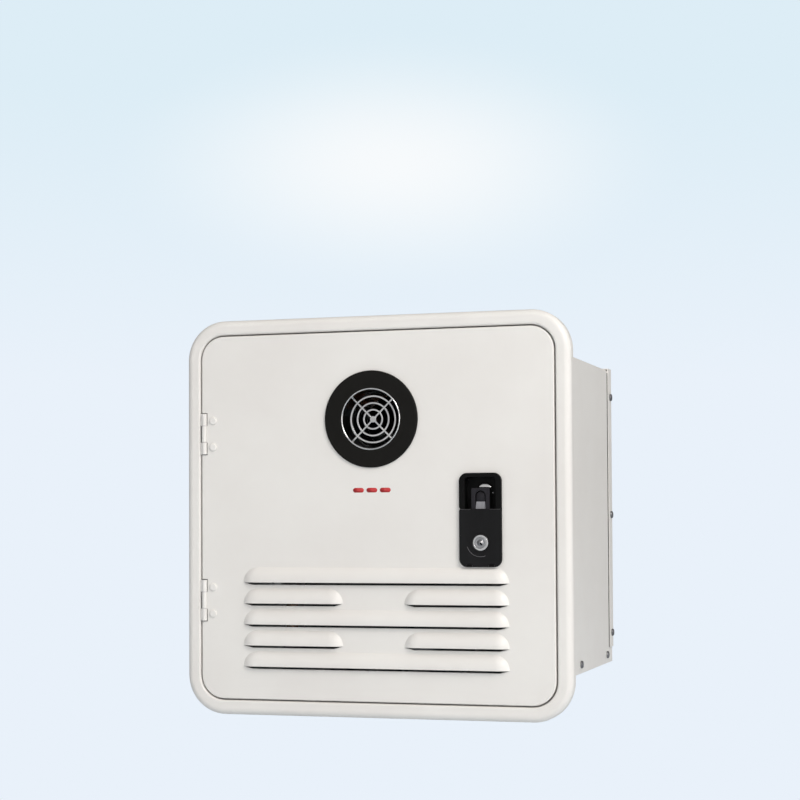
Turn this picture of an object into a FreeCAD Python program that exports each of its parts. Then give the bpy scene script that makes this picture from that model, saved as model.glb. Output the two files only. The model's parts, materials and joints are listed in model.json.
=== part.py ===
import FreeCAD, Part
import math
import os
import re
import Sketcher

# Recessed caravan water heater, in millimetres.
# X runs to the right, Y into the vehicle and Z up. The origin is the centre of the wall frame's
# back plane, where the frame rests on the outside wall of the vehicle.

V = FreeCAD.Vector

SIZES = {
    # Wall frame
    "frame_side": 381.0,
    "frame_corner": 38.0,
    "frame_proud": 13.5,
    "frame_band": 14.1,
    "frame_skin": 2.0,
    "frame_round": 6.5,
    "rim_round": 2.0,
    "rim_skin": 1.4,
    "recess_corner": 24.0,
    "ledge_skin": 1.5,
    "collar_depth": 16.0,
    "collar_skin": 1.3,
    "opening_corner": 6.0,
    "seal_clear": 0.2,
    "screw_across": 336.0,
    "screw_along": 260.0,
    "screw_hole": 2.4,
    "seat_gap": 0.1,
    "screw_clear": 0.1,
    # Case
    "case_side": 320.0,
    "case_skin": 1.2,
    "case_depth": 345.0,
    "sheet_gap": 0.2,
    "case_round": 3.0,
    "floor_inset": 1.0,
    "floor_flange": 16.0,
    "cover_flange": 18.0,
    "cover_cutoff": 16.5,
    "side_screw_radius": 2.0,
    "side_screw_head": 3.9,
    "side_screw_rise": 2.2,
    "side_screw_round": 1.4,
    "side_screw_tip": 4.0,
    "side_screw_shift": 1.0,
    "side_screw_reach": 129.0,
    "side_screw_inset": 7.5,
    "floor_screw_rise": 9.0,
    "floor_screw_first": 32.5,
    "floor_screw_pitch": 141.5,
    # Door
    "door_gap": 1.4,
    "door_sunk": 0.5,
    "door_skin": 1.0,
    "door_depth": 9.0,
    "door_round": 1.3,
    "hem_width": 15.0,
    "gasket_width": 5.0,
    "gasket_clear": 0.2,
    "gasket_inset": 1.0,
    # Louvres
    "louvre_bottom": -143.4,
    "louvre_pitch": 20.1,
    "louvre_reach": 131.5,
    "louvre_split": 30.5,
    "louvre_height": 14.5,
    "louvre_proud": 5.0,
    "louvre_slot": 2.3,
    "louvre_taper": 9.0,
    "slot_inset": 0.6,
    # Door hinges
    "hinge_height": 80.6,
    "hinge_length": 39.4,
    "hinge_inset": 2.7,
    "hinge_sunk": 0.4,
    "knuckle_radius": 2.5,
    "knuckle_middle": 16.4,
    "knuckle_gap": 0.3,
    "notch_gap": 0.8,
    "notch_seat": 0.1,
    "pin_radius": 1.3,
    "pin_clear": 0.05,
    "leaf_skin": 1.0,
    "leaf_width": 17.0,
    "leaf_gap": 0.05,
    "foot_width": 6.0,
    "bridge_thick": 1.6,
    "foot_screw_reach": 2.5,
    "foot_screw_offset": 14.0,
    "foot_screw_radius": 1.5,
    "foot_screw_head": 2.6,
    "foot_screw_rise": 0.6,
    "tab_lap": 0.7,
    "rivet_radius": 4.0,
    "rivet_proud": 1.7,
    "rivet_offset": 12.8,
    "rivet_shank": 1.6,
    "rivet_reach": 9.3,
    "rivet_clear": 0.05,
    "rivet_tail": 1.0,
    "rivet_edge": 0.1,
    # Flue outlet in the door
    "flue_x": -1.5,
    "flue_z": 91.8,
    "ring_radius": 46.0,
    "ring_proud": 2.4,
    "sleeve_radius": 29.3,
    "sleeve_skin": 1.3,
    "sleeve_proud": 0.6,
    "sleeve_back": 12.0,
    "sleeve_clear": 0.3,
    "sleeve_edge": 0.4,
    "sleeve_bevel": 0.5,
    "ring_edge": 0.8,
    "plate_skin": 1.2,
    "plate_inset": 3.0,
    "grille_sunk": 8.6,
    "grille_wire": 1.5,
    "grille_ring_a": 22.0,
    "grille_ring_b": 15.5,
    "grille_ring_c": 9.1,
    "grille_hub": 3.0,
    "grille_clear": 0.15,
    "spoke_inset": 0.3,
    "spoke_start": 0.5,
    # Door latch
    "latch_x": 105.0,
    "latch_width": 40.4,
    "latch_top": 39.5,
    "latch_bottom": -47.8,
    "latch_split": 6.2,
    "latch_corner": 7.5,
    "latch_notch": 2.0,
    "latch_proud": 3.0,
    "latch_lip": 0.5,
    "latch_rim": 2.6,
    "latch_clear": 0.2,
    "tub_back": 8.0,
    "tub_skin": 2.0,
    "tub_wall": 1.6,
    "tub_rise": 6.0,
    "tub_drop": 2.0,
    "cup_wall": 5.2,
    "cup_depth": 12.0,
    "cup_corner": 4.0,
    "cup_drop": 6.0,
    "cup_roof": 1.0,
    "paddle_thick": 2.2,
    "paddle_clear": 0.3,
    "paddle_pin_rise": 1.2,
    "paddle_pin_radius": 0.6,
    "paddle_round": 1.0,
    "lug_width": 5.0,
    "lug_offset": 8.0,
    "lug_height": 2.4,
    "lug_room": 0.4,
    "lug_run": 1.0,
    "tongue_width": 17.2,
    "tongue_rise": 19.2,
    "tongue_sunk": 1.2,
    "tongue_thick": 2.4,
    "tongue_gap": 0.05,
    "tongue_corner": 1.0,
    "tongue_tail": 9.0,
    "tongue_lap": 2.0,
    "slot_drop": 5.0,
    "slot_edge": 0.05,
    "slot_width": 10.2,
    "slot_rise": 17.0,
    "button_rise": 6.6,
    "button_sunk": 1.0,
    "button_tail": 3.0,
    "button_slim": 1.0,
    "stud_radius": 7.5,
    "stud_z": 23.2,
    "stud_shift": 1.0,
    "stud_rise": 4.2,
    "stud_edge": 1.5,
    "stud_bevel": 3.0,
    "stud_crown": 3.9,
    "lock_z": -25.3,
    "lock_radius": 7.8,
    "lock_proud": 0.9,
    "lock_length": 14.0,
    "lock_clear": 0.05,
    "lock_round": 0.6,
    "lock_rim": 2.4,
    "lock_sunk": 0.5,
    "boss_wall": 2.0,
    "boss_inset": 3.5,
    "key_half": 0.9,
    "key_reach": 4.0,
    "key_depth": 6.0,
    "cam_skin": 1.6,
    "cam_half": 4.5,
    "cam_reach": 13.5,
    "cam_corner": 4.0,
    "bolt_z": 18.0,
    "bolt_height": 10.0,
    "bolt_front": 1.0,
    "bolt_thick": 5.0,
    "bolt_clear": 0.3,
    "bolt_start": 8.0,
    "bolt_room": 2.0,
    "bolt_gap": 1.8,
    "bolt_round": 1.2,
    "striker_reach": 11.0,
    "striker_height": 28.0,
    "striker_skin": 1.5,
    "striker_inset": 2.0,
    # Burner, exchanger and flue
    "stack_width": 188.0,
    "stack_front": 60.0,
    "stack_depth": 160.0,
    "stack_skin": 1.2,
    "burner_bottom": -112.0,
    "burner_top": -12.0,
    "exchanger_top": 60.0,
    "hood_top": 148.0,
    "hood_front_run": 110.0,
    "hood_back_rise": 30.0,
    "bar_count": 8,
    "bar_pitch": 22.0,
    "bar_thick": 9.0,
    "bar_bottom": -62.0,
    "bar_top": -30.0,
    "bar_clear": 0.2,
    "bar_corner": 2.0,
    "bar_skin": 0.8,
    "manifold_y": 46.0,
    "manifold_z": -50.0,
    "manifold_radius": 7.0,
    "nozzle_radius": 3.0,
    "probe_z": -22.0,
    "probe_x": 30.0,
    "probe_radius": 3.0,
    "probe_clear": 0.3,
    "probe_flange": 6.0,
    "probe_flange_skin": 0.7,
    "probe_out": 14.0,
    "probe_in": 6.0,
    "probe_tip": 34.0,
    "probe_rod": 1.2,
    "manifold_end": 10.0,
    "fin_pitch": 11.0,
    "fin_thick": 1.0,
    "fin_count": 16,
    "fin_bottom": 8.0,
    "fin_top": 42.0,
    "tube_radius": 6.0,
    "tube_z": 24.0,
    "tube_first": 95.0,
    "tube_pitch": 30.0,
    "flue_pipe_radius": 29.0,
    "flue_pipe_skin": 1.5,
    "flue_seal_gap": 0.4,
    "flue_seal_thick": 3.0,
    "flue_flange": 7.0,
    "flue_flange_skin": 1.9,
    "flue_seal_lip": 2.0,
    # Fan
    "fan_y": 140.0,
    "fan_bottom": -150.0,
    "fan_radius": 58.0,
    "fan_skin": 1.5,
    "wheel_radius": 44.0,
    "wheel_inner": 30.0,
    "blade_count": 18,
    "motor_radius": 19.0,
    "shaft_radius": 2.5,
    "fan_inlet": 30.0,
    "outlet_half": 20.0,
    "outlet_clear": 2.0,
    "arm_lap": 2.0,
    "arm_half": 3.0,
    "foot_inset": 8.0,
    "foot_radius": 4.0,
    "motor_height": 18.0,
    "motor_round": 2.0,
    "shaft_socket": 9.0,
    "shaft_end_gap": 0.3,
    "shaft_end": 2.0,
    "wheel_rise": 4.0,
    "wheel_skin": 1.4,
    "wheel_clear": 2.5,
    "ring_skin": 1.2,
    "ring_width": 3.0,
    "blade_thick": 1.4,
    # Gas
    "valve_x": -129.0,
    "valve_width": 42.0,
    "valve_depth": 50.0,
    "valve_bottom": -84.0,
    "valve_top": -24.0,
    "coil_radius": 10.0,
    "coil_height": 30.0,
    "coil_gap": 0.5,
    "valve_front": 18.0,
    "valve_corner": 5.0,
    "cap_rise": 6.0,
    "cap_z": 22.0,
    "cap_radius": 14.0,
    "cap_round": 1.5,
    "bracket_inset": 4.0,
    "bracket_skin": 1.5,
    "bracket_foot": 14.0,
    "gas_x": -143.0,
    "gas_z": -60.0,
    "gas_pipe_radius": 5.0,
    "gas_thread": 7.94,
    "gas_neck": 6.5,
    "gas_hex": 11.0,
    "gas_bore": 4.0,
    "gas_shorter": 2.0,
    # Water
    "water_x": -122.0,
    "cold_z": -125.0,
    "pipe_bend": 14.0,
    "water_thread": 10.67,
    "water_bore": 4.5,
    "fitting_length": 17.0,
    "fitting_hex": 13.5,
    "fitting_inner": 336.0,
    "nose_length": 6.0,
    "bore_start": 3.0,
    "sensor_start": 236.0,
    "sensor_length": 40.0,
    "sensor_radius": 13.0,
    "sensor_bore": 9.5,
    "sensor_wall": 4.0,
    "sensor_cap_sunk": 1.0,
    "sensor_cap_rise": 7.0,
    "sensor_cap_half": 6.0,
    "sensor_cap_reach": 8.0,
    "rotor_hub": 3.0,
    "vane_start": 2.0,
    "vane_half": 0.6,
    "rotor_clear": 0.25,
    "rotor_length": 12.0,
    "relief_y": 270.0,
    "stat_left": -60.0,
    "stat_right": 45.0,
    "stat_radius": 8.0,
    "stat_half": 14.0,
    "stat_rise": 5.0,
    "stat_front": 7.0,
    "stat_flat": 1.4,
    "relief_radius": 9.0,
    "relief_half": 11.0,
    "relief_reach": 10.0,
    "relief_base": 12.0,
    "relief_height": 34.0,
    "lever_gap": 0.3,
    "lever_skin": 2.0,
    "lever_half": 5.0,
    "lever_back": 8.0,
    "lever_reach": 24.0,
    "lever_corner": 3.0,
    "lever_hole": 2.2,
    "lever_hole_reach": 17.0,
    "barrel_half": 6.0,
    # Electrics
    "box_clear": 4.5,
    "box_depth": 190.0,
    "box_bottom": -70.0,
    "box_top": 95.0,
    "box_skin": 2.0,
    "board_skin": 1.6,
    "board_gap": 8.0,
    "board_inset": 12.0,
    "post_inset": 18.0,
    "post_radius": 2.5,
    "switch_z": 60.0,
    "switch_width": 17.4,
    "switch_height": 24.4,
    "window_side": 0.5,
    "window_end": 1.0,
    "bezel_side": 3.0,
    "bezel_end": 3.5,
    "bezel_rise": 3.0,
    "bezel_corner": 2.0,
    "rocker_back": 0.6,
    "rocker_front": 4.4,
    "rocker_dip": 3.4,
    "axle_y": 2.0,
    "axle_reach": 0.3,
    "axle_radius": 1.2,
    "cable_x": 120.0,
    "cable_z": -120.0,
    "cable_bore": 5.0,
    "cable_hole": 9.0,
    "grommet_lip": 2.0,
    "grommet_fit": 0.1,
    "pipe_room": 1.5,
    "neck_room": 0.7,
}

# Sizes worked out from those above
FRAME = "(frame_side/2)"
RECESS = "(frame_side/2-frame_band)"
CASE = "(case_side/2)"
CASE_IN = "(case_side/2-case_skin)"
COLLAR = "(case_side/2-case_skin-sheet_gap)"
OPEN = "(case_side/2-case_skin-sheet_gap-collar_skin)"
DOOR = "(frame_side/2-frame_band-door_gap)"
DOOR_CORNER = "(recess_corner-door_gap)"
DOOR_FRONT = "(door_sunk-frame_proud)"
DOOR_BACK = "(door_sunk-frame_proud+door_depth)"
SKIN_BACK = "(door_sunk-frame_proud+door_skin)"
HINGE_X = "(hinge_inset-frame_side/2+frame_band+door_gap)"
HINGE_Y = "(door_sunk-frame_proud+hinge_sunk)"
COVER_BACK = "case_depth"
COVER_FRONT = "(case_depth-case_skin)"
COVER_OUT = "(case_side/2+sheet_gap+case_skin)"
STACK_LEFT = "(flue_x-stack_width/2)"
STACK_RIGHT = "(flue_x+stack_width/2)"
STACK_BACK = "(stack_front+stack_depth)"
BOX_LEFT = "(flue_x+stack_width/2+tube_pitch/2+tube_radius+box_clear)"
BOX_RIGHT = "(case_side/2-case_skin-seat_gap)"
SWITCH_X = f"(({BOX_LEFT}+{BOX_RIGHT})/2)"
LATCH_FRONT = "(door_sunk-frame_proud-latch_proud)"
LIP_FRONT = "(door_sunk-frame_proud-latch_lip)"
LATCH_LEFT = "(latch_x-latch_width/2)"
LATCH_RIGHT = "(latch_x+latch_width/2)"
PADDLE_PIN_Y = "(door_sunk-frame_proud-latch_proud+paddle_thick/2)"
PADDLE_PIN_Z = "(latch_bottom+paddle_pin_rise)"
PADDLE_BACK = "(door_sunk-frame_proud-latch_proud+paddle_thick)"

doc = FreeCAD.newDocument("caravan_water_heater")
sheet = doc.addObject("Spreadsheet::Sheet", "dims")
PIECES = []


def fill_sheet():
    """Write each driving dimension as a plain number with its alias."""
    for row, (name, value) in enumerate(SIZES.items(), 1):
        sheet.set(f"A{row}", name)
        sheet.set(f"B{row}", str(value))
        sheet.setAlias(f"B{row}", name)
    doc.recompute()


def bound(text):
    """The expression text with the sheet's name before each alias."""
    return re.sub(r"[a-z_]+", lambda w: "dims." + w[0] if w[0] in SIZES else w[0], str(text))


def value(text):
    """The number that an expression has now."""
    return float(sheet.evalExpression(bound(text)))


def neg(text):
    return f"(-({text}))"


def add(*terms):
    return "(" + "+".join(f"({term})" for term in terms) + ")"


class Outline:
    """Closed outlines in one sketch, with every place and radius bound to the sheet."""

    def __init__(self, sketch):
        self.sketch = sketch

    def bind(self, index, text):
        self.sketch.setExpression(f"Constraints[{index}]", bound(text))

    def place(self, curve, point, across, up):
        """Fix one point of a curve at its two distances from the sketch's origin."""
        for kind, text in (("DistanceX", across), ("DistanceY", up)):
            rule = Sketcher.Constraint(kind, -1, 1, curve, point, value(text))
            self.bind(self.sketch.addConstraint(rule), text)

    def circle(self, across, up, radius):
        centre = V(value(across), value(up), 0)
        curve = self.sketch.addGeometry(Part.Circle(centre, V(0, 0, 1), value(radius)))
        rule = Sketcher.Constraint("Radius", curve, value(radius))
        self.bind(self.sketch.addConstraint(rule), radius)
        self.place(curve, 3, across, up)

    def polygon(self, points):
        corners = [V(value(a), value(b), 0) for a, b in points]
        count = len(corners)
        lines = [
            self.sketch.addGeometry(Part.LineSegment(corners[i], corners[(i + 1) % count]))
            for i in range(count)
        ]
        for i, line in enumerate(lines):
            self.sketch.addConstraint(
                Sketcher.Constraint("Coincident", line, 2, lines[(i + 1) % count], 1)
            )
            self.place(line, 1, *points[i])

    def box(self, left, right, low, high):
        self.polygon([(left, low), (right, low), (right, high), (left, high)])

    def rounded(self, left, right, low, high, radius):
        """A rectangle with four equal round corners."""
        x0, x1, y0, y1, r = (value(t) for t in (left, right, low, high, radius))
        sides = [
            (V(x0 + r, y0, 0), V(x1 - r, y0, 0)),
            (V(x1, y0 + r, 0), V(x1, y1 - r, 0)),
            (V(x1 - r, y1, 0), V(x0 + r, y1, 0)),
            (V(x0, y1 - r, 0), V(x0, y0 + r, 0)),
        ]
        centres = [(x1 - r, y0 + r), (x1 - r, y1 - r), (x0 + r, y1 - r), (x0 + r, y0 + r)]
        starts = [-0.5, 0.0, 0.5, 1.0]
        add_curve = self.sketch.addGeometry
        rule = self.sketch.addConstraint
        lines = [add_curve(Part.LineSegment(*side)) for side in sides]
        arcs = []
        for (x, y), start in zip(centres, starts):
            round_ = Part.Circle(V(x, y, 0), V(0, 0, 1), r)
            arcs.append(add_curve(Part.ArcOfCircle(round_, start * math.pi, (start + 0.5) * math.pi)))
        for i in range(4):
            rule(Sketcher.Constraint("Tangent", lines[i], 2, arcs[i], 1))
            rule(Sketcher.Constraint("Tangent", arcs[i], 2, lines[(i + 1) % 4], 1))
            rule(Sketcher.Constraint("Horizontal" if i % 2 == 0 else "Vertical", lines[i]))
        for arc in arcs[1:]:
            rule(Sketcher.Constraint("Equal", arcs[0], arc))
        self.bind(rule(Sketcher.Constraint("Radius", arcs[0], r)), radius)
        edges = [
            ("DistanceY", lines[0], low),
            ("DistanceX", lines[1], right),
            ("DistanceY", lines[2], high),
            ("DistanceX", lines[3], left),
        ]
        for kind, line, text in edges:
            self.bind(rule(Sketcher.Constraint(kind, -1, 1, line, 1, value(text))), text)

    def hood(self, proud, height):
        """A louvre's section: flat back, sharp lower lip, front swept up in one arc."""
        p, rise = value(proud), value(height)
        corner, lip, top = V(0, 0, 0), V(-p, 0, 0), V(0, rise, 0)
        mid = V(-0.83 * p, 0.56 * rise, 0)
        sweep = Part.ArcOfCircle(top, mid, lip)
        lines = [(corner, top), (lip, corner)]
        ids = [self.sketch.addGeometry(Part.LineSegment(*line)) for line in lines]
        arc = self.sketch.addGeometry(sweep)
        first, last = (1, 2) if sweep.StartPoint.distanceToPoint(top) < 1e-6 else (2, 1)
        rule = self.sketch.addConstraint
        rule(Sketcher.Constraint("Coincident", ids[0], 2, arc, first))
        rule(Sketcher.Constraint("Coincident", ids[1], 1, arc, last))
        rule(Sketcher.Constraint("Coincident", ids[1], 2, ids[0], 1))
        self.place(ids[0], 1, "0", "0")
        self.place(ids[0], 2, "0", height)
        self.place(ids[1], 1, neg(proud), "0")
        self.bind(rule(Sketcher.Constraint("Radius", arc, sweep.Radius)), sweep.Radius)


ROLES = {"XY": 1, "XZ": -1, "YZ": 1}


class Piece:
    """One sub-part: a body whose sketches and features read the sheet."""

    def __init__(self, label):
        self.body = doc.addObject("PartDesign::Body", label)
        self.body.Label = label
        PIECES.append(self.body)

    def plane(self, role):
        return next(f for f in self.body.Origin.OriginFeatures if f.Role == role)

    def sketch(self, plane, at, outlines, origin=("0", "0"), angle=0.0):
        """A sketch on an origin plane, moved to the coordinate at along its normal."""
        sketch = self.body.newObject("Sketcher::SketchObject", self.body.Label + "_sketch")
        sketch.AttachmentSupport = [(self.plane(plane + "_Plane"), "")]
        sketch.MapMode = "FlatFace"
        sketch.AttachmentOffset = FreeCAD.Placement(V(), FreeCAD.Rotation(V(0, 0, 1), angle))
        along = at if ROLES[plane] > 0 else neg(at)
        for axis, text in zip("xyz", (origin[0], origin[1], along)):
            sketch.setExpression(f"AttachmentOffset.Base.{axis}", bound(text))
        outline = Outline(sketch)
        for kind, *sizes in outlines:
            getattr(outline, kind)(*sizes)
        return sketch

    def feature(self, kind, sketch):
        feature = self.body.newObject("PartDesign::" + kind, f"{self.body.Label}_{kind}")
        feature.Profile = sketch
        self.body.Tip = feature
        return feature

    def pad(self, plane, start, end, *outlines, origin=("0", "0"), angle=0.0):
        """Material between two coordinates along the plane's normal."""
        pad = self.feature("Pad", self.sketch(plane, start, outlines, origin, angle))
        pad.Reversed = ROLES[plane] < 0
        pad.setExpression("Length", bound(add(end, neg(start))))
        return pad

    def pocket(self, plane, start, end, *outlines, origin=("0", "0")):
        """A cut between two coordinates along the plane's normal."""
        pocket = self.feature("Pocket", self.sketch(plane, start, outlines, origin))
        pocket.Reversed = ROLES[plane] > 0
        pocket.setExpression("Length", bound(add(end, neg(start))))
        return pocket

    def turn(self, kind, plane, at, outlines, origin, axis, angle=360.0, back=False):
        """A Revolution or Groove about one axis of its own sketch."""
        sketch = self.sketch(plane, at, outlines, origin)
        turned = self.feature(kind, sketch)
        turned.ReferenceAxis = (sketch, [axis])
        turned.Angle = angle
        turned.Reversed = back
        return turned

    def pattern(self, features, axis, pitch, count):
        """Copies of features in a row along one axis of the body."""
        pattern = self.body.newObject("PartDesign::LinearPattern", self.body.Label + "_row")
        pattern.Originals = features
        pattern.Direction = (self.plane(axis + "_Axis"), [""])
        pattern.Mode = "Spacing"
        pattern.setExpression("Offset", bound(pitch))
        pattern.setExpression("Occurrences", bound(count))
        self.body.Tip = pattern
        return pattern

    def spokes(self, features, axis, count):
        """Copies of features round one axis of the first feature's sketch."""
        pattern = self.body.newObject("PartDesign::PolarPattern", self.body.Label + "_round")
        pattern.Originals = features
        pattern.Axis = (features[0].Profile[0], [axis])
        pattern.Angle = 360.0
        pattern.setExpression("Occurrences", bound(count))
        self.body.Tip = pattern
        return pattern

    def fillet(self, radius, chosen):
        """A round on the edges for which chosen(middle point, edge) is true."""
        doc.recompute()
        tip = self.body.Tip
        names = []
        for number, edge in enumerate(tip.Shape.Edges, 1):
            middle = edge.valueAt((edge.FirstParameter + edge.LastParameter) / 2)
            if chosen(middle, edge):
                names.append(f"Edge{number}")
        fillet = self.body.newObject("PartDesign::Fillet", self.body.Label + "_round")
        fillet.Base = (tip, names)
        fillet.setExpression("Radius", bound(radius))
        self.body.Tip = fillet
        return fillet


def near(number, text):
    return abs(number - value(text)) < 0.01


def square(half, radius):
    return ("rounded", neg(half), half, neg(half), half, radius)


def rect(left, right, low, high):
    return ("box", left, right, low, high)


def disc(across, up, radius):
    return ("circle", across, up, radius)


def flange_holes():
    """The screw holes of the wall frame: four at the sides and four above and below."""
    a, b = "screw_across/2", "screw_along/2"
    return [
        disc(f"({i}*{x})", f"({j}*{z})", "screw_hole")
        for x, z in ((a, b), (b, a))
        for i in (-1, 1)
        for j in (-1, 1)
    ]


def side_screw_places():
    """Where the screws of the case's sides stand, as (y, z)."""
    rear_y = "(case_depth-side_screw_inset)"
    rear = [(rear_y, f"({i}*side_screw_reach+side_screw_shift)") for i in (-1, 0, 1)]
    low_z = "(floor_screw_rise-case_side/2)"
    low = [(f"(floor_screw_first+{i}*floor_screw_pitch)", low_z) for i in range(3)]
    return rear, low


def wall_frame():
    """The white frame: rounded outer wall, hollow back, door recess, ledge and collar."""
    frame = Piece("trim_frame")
    outer = square(FRAME, "frame_corner")
    frame.pad("XZ", "-frame_proud", "0", outer)
    frame.fillet("frame_round", lambda p, e: near(p.y, "-frame_proud"))
    frame.pocket("XZ", "-frame_proud", "-ledge_skin", square(RECESS, "recess_corner"))
    frame.fillet(
        "rim_round",
        lambda p, e: near(p.y, "-frame_proud") and e.BoundBox.XLength < value("2*" + RECESS) + 1
        and max(abs(p.x), abs(p.z)) < value(RECESS) + 1,
    )
    inside = square(f"({RECESS}+rim_skin)", "(recess_corner+rim_skin)")
    channel = square(f"({FRAME}-frame_skin)", "(frame_corner-frame_skin)")
    frame.pocket("XZ", "(frame_skin-frame_proud)", "0", channel, inside)
    frame.pad("XZ", "0", "collar_depth", square(COLLAR, "(opening_corner+collar_skin)"))
    frame.pocket("XZ", "-ledge_skin", "collar_depth", square(OPEN, "opening_corner"))
    frame.pocket("XZ", "-ledge_skin", "0", *flange_holes())
    seal = Piece("wall_seal")
    seal.pad(
        "XZ", "(frame_skin-frame_proud+seal_clear)", "0",
        square(f"({FRAME}-frame_skin-seal_clear)", "(frame_corner-frame_skin-seal_clear)"),
        square(f"({RECESS}+rim_skin+seal_clear)", "(recess_corner+rim_skin+seal_clear)"),
    )
    gasket = Piece("door_gasket")
    gasket.pad(
        "XZ", f"({DOOR_BACK}+gasket_clear)", "-ledge_skin",
        square(f"({OPEN}+gasket_inset+gasket_width)", "(opening_corner+gasket_inset+gasket_width)"),
        square(f"({OPEN}+gasket_inset)", "(opening_corner+gasket_inset)"),
    )


def case():
    """The shell round the works: wrap, floor pan, rear cover and their screws."""
    rear, low = side_screw_places()
    holes = [disc(y, z, "(side_screw_radius+screw_clear)") for y, z in rear + low]
    wrap = Piece("case_wrap")
    front, back = "sheet_gap", f"({COVER_FRONT}-sheet_gap)"
    wrap.pad("XZ", front, back, rect(neg(CASE), CASE, neg(CASE), CASE))
    wrap.fillet("case_round", lambda p, e: abs(abs(p.x) - value(CASE)) < 0.01 and near(p.z, CASE))
    wrap.pocket("XZ", front, back, rect(neg(CASE_IN), CASE_IN, f"(-{CASE}-1)", CASE_IN))
    wrap.pocket("YZ", f"(-{CASE}-1)", f"({CASE}+1)", *holes)
    floor = Piece("case_floor")
    inner = f"({CASE_IN}-sheet_gap)"
    start = "(collar_depth+floor_inset)"
    floor.pad("XZ", start, back, rect(neg(inner), inner, neg(CASE), f"(floor_flange-{CASE})"))
    shell = rect(f"(case_skin-{inner})", f"({inner}-case_skin)", f"(case_skin-{CASE})", "0")
    floor.pocket("XZ", start, back, shell)
    floor.pocket(
        "YZ", f"(-{CASE}-1)", f"({CASE}+1)",
        *[disc(y, z, "(side_screw_radius+screw_clear)") for y, z in low]
    )
    cover = Piece("rear_cover")
    edge = f"(cover_cutoff-{CASE})"
    cover.pad("XZ", COVER_FRONT, COVER_BACK, rect(neg(CASE), CASE, neg(CASE), edge))
    cover.pad("XZ", "(case_depth-cover_flange)", COVER_BACK,
              rect(neg(COVER_OUT), COVER_OUT, edge, COVER_OUT))
    cover.pocket("XZ", "(case_depth-cover_flange)", COVER_FRONT,
                 rect(f"(-{CASE}-sheet_gap)", f"({CASE}+sheet_gap)", edge, f"({CASE}+sheet_gap)"))
    cover.pocket("XZ", COVER_FRONT, COVER_BACK, *rear_holes())
    cover.pocket("YZ", f"(-{CASE}-3)", f"({CASE}+3)",
                 *[disc(y, z, "(side_screw_radius+screw_clear)") for y, z in rear])
    screws = Piece("side_screws")
    side_screws(screws, rear, COVER_OUT, low)


def rear_holes():
    """Holes of the rear cover for gas, cold water, hot water and the cable grommet."""
    return [
        disc("gas_x", "gas_z", "(gas_thread-neck_room)"),
        disc("water_x", "cold_z", "(tube_radius+pipe_room)"),
        disc("water_x", "tube_z", "(tube_radius+pipe_room)"),
        disc("cable_x", "cable_z", "cable_hole"),
    ]


def side_screws(screws, rear, rear_face, low):
    """Pan-head screws through both sides, heads outside."""
    for places, face in ((rear, rear_face), (low, CASE)):
        shanks = [disc(y, z, "side_screw_radius") for y, z in places]
        heads = [disc(y, z, "side_screw_head") for y, z in places]
        tip = f"({CASE_IN}-side_screw_tip)"
        screws.pad("YZ", tip, face, *shanks)
        screws.pad("YZ", face, f"({face}+side_screw_rise)", *heads)
        screws.pad("YZ", neg(face), neg(tip), *shanks)
        screws.pad("YZ", f"(-{face}-side_screw_rise)", neg(face), *heads)
    limit = value(CASE) + 1.5
    screws.fillet("side_screw_round", lambda p, e: abs(p.x) > limit and e.BoundBox.XLength < 0.01)


def add_louvre(door, left, right, bottom):
    """One pressed hood, open at its lower lip, with quarter-round ends; gives its features."""
    rise = "louvre_height"
    inner = ("hood", "(louvre_proud-door_skin)", "(louvre_height-door_skin)")
    outer = ("hood", "louvre_proud", "louvre_height")
    ends = [add(right, neg(rise)), add(left, rise)]
    made = []
    origin = (DOOR_FRONT, bottom)
    made.append(door.pad("YZ", ends[1], ends[0], outer, origin=origin))
    made.append(door.turn("Revolution", "YZ", ends[0], [outer], origin, "H_Axis", 90, False))
    made.append(door.turn("Revolution", "YZ", ends[1], [outer], origin, "H_Axis", 90, True))
    made.append(door.pocket("YZ", ends[1], ends[0], inner, origin=origin))
    made.append(door.turn("Groove", "YZ", ends[0], [inner], origin, "H_Axis", 90, False))
    made.append(door.turn("Groove", "YZ", ends[1], [inner], origin, "H_Axis", 90, True))
    return made


def hinge_ends(side):
    """The lower and upper end of one door hinge, side 1 above and -1 below."""
    middle = f"({side}*hinge_height)"
    return f"({middle}-hinge_length/2)", f"({middle}+hinge_length/2)", middle


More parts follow.
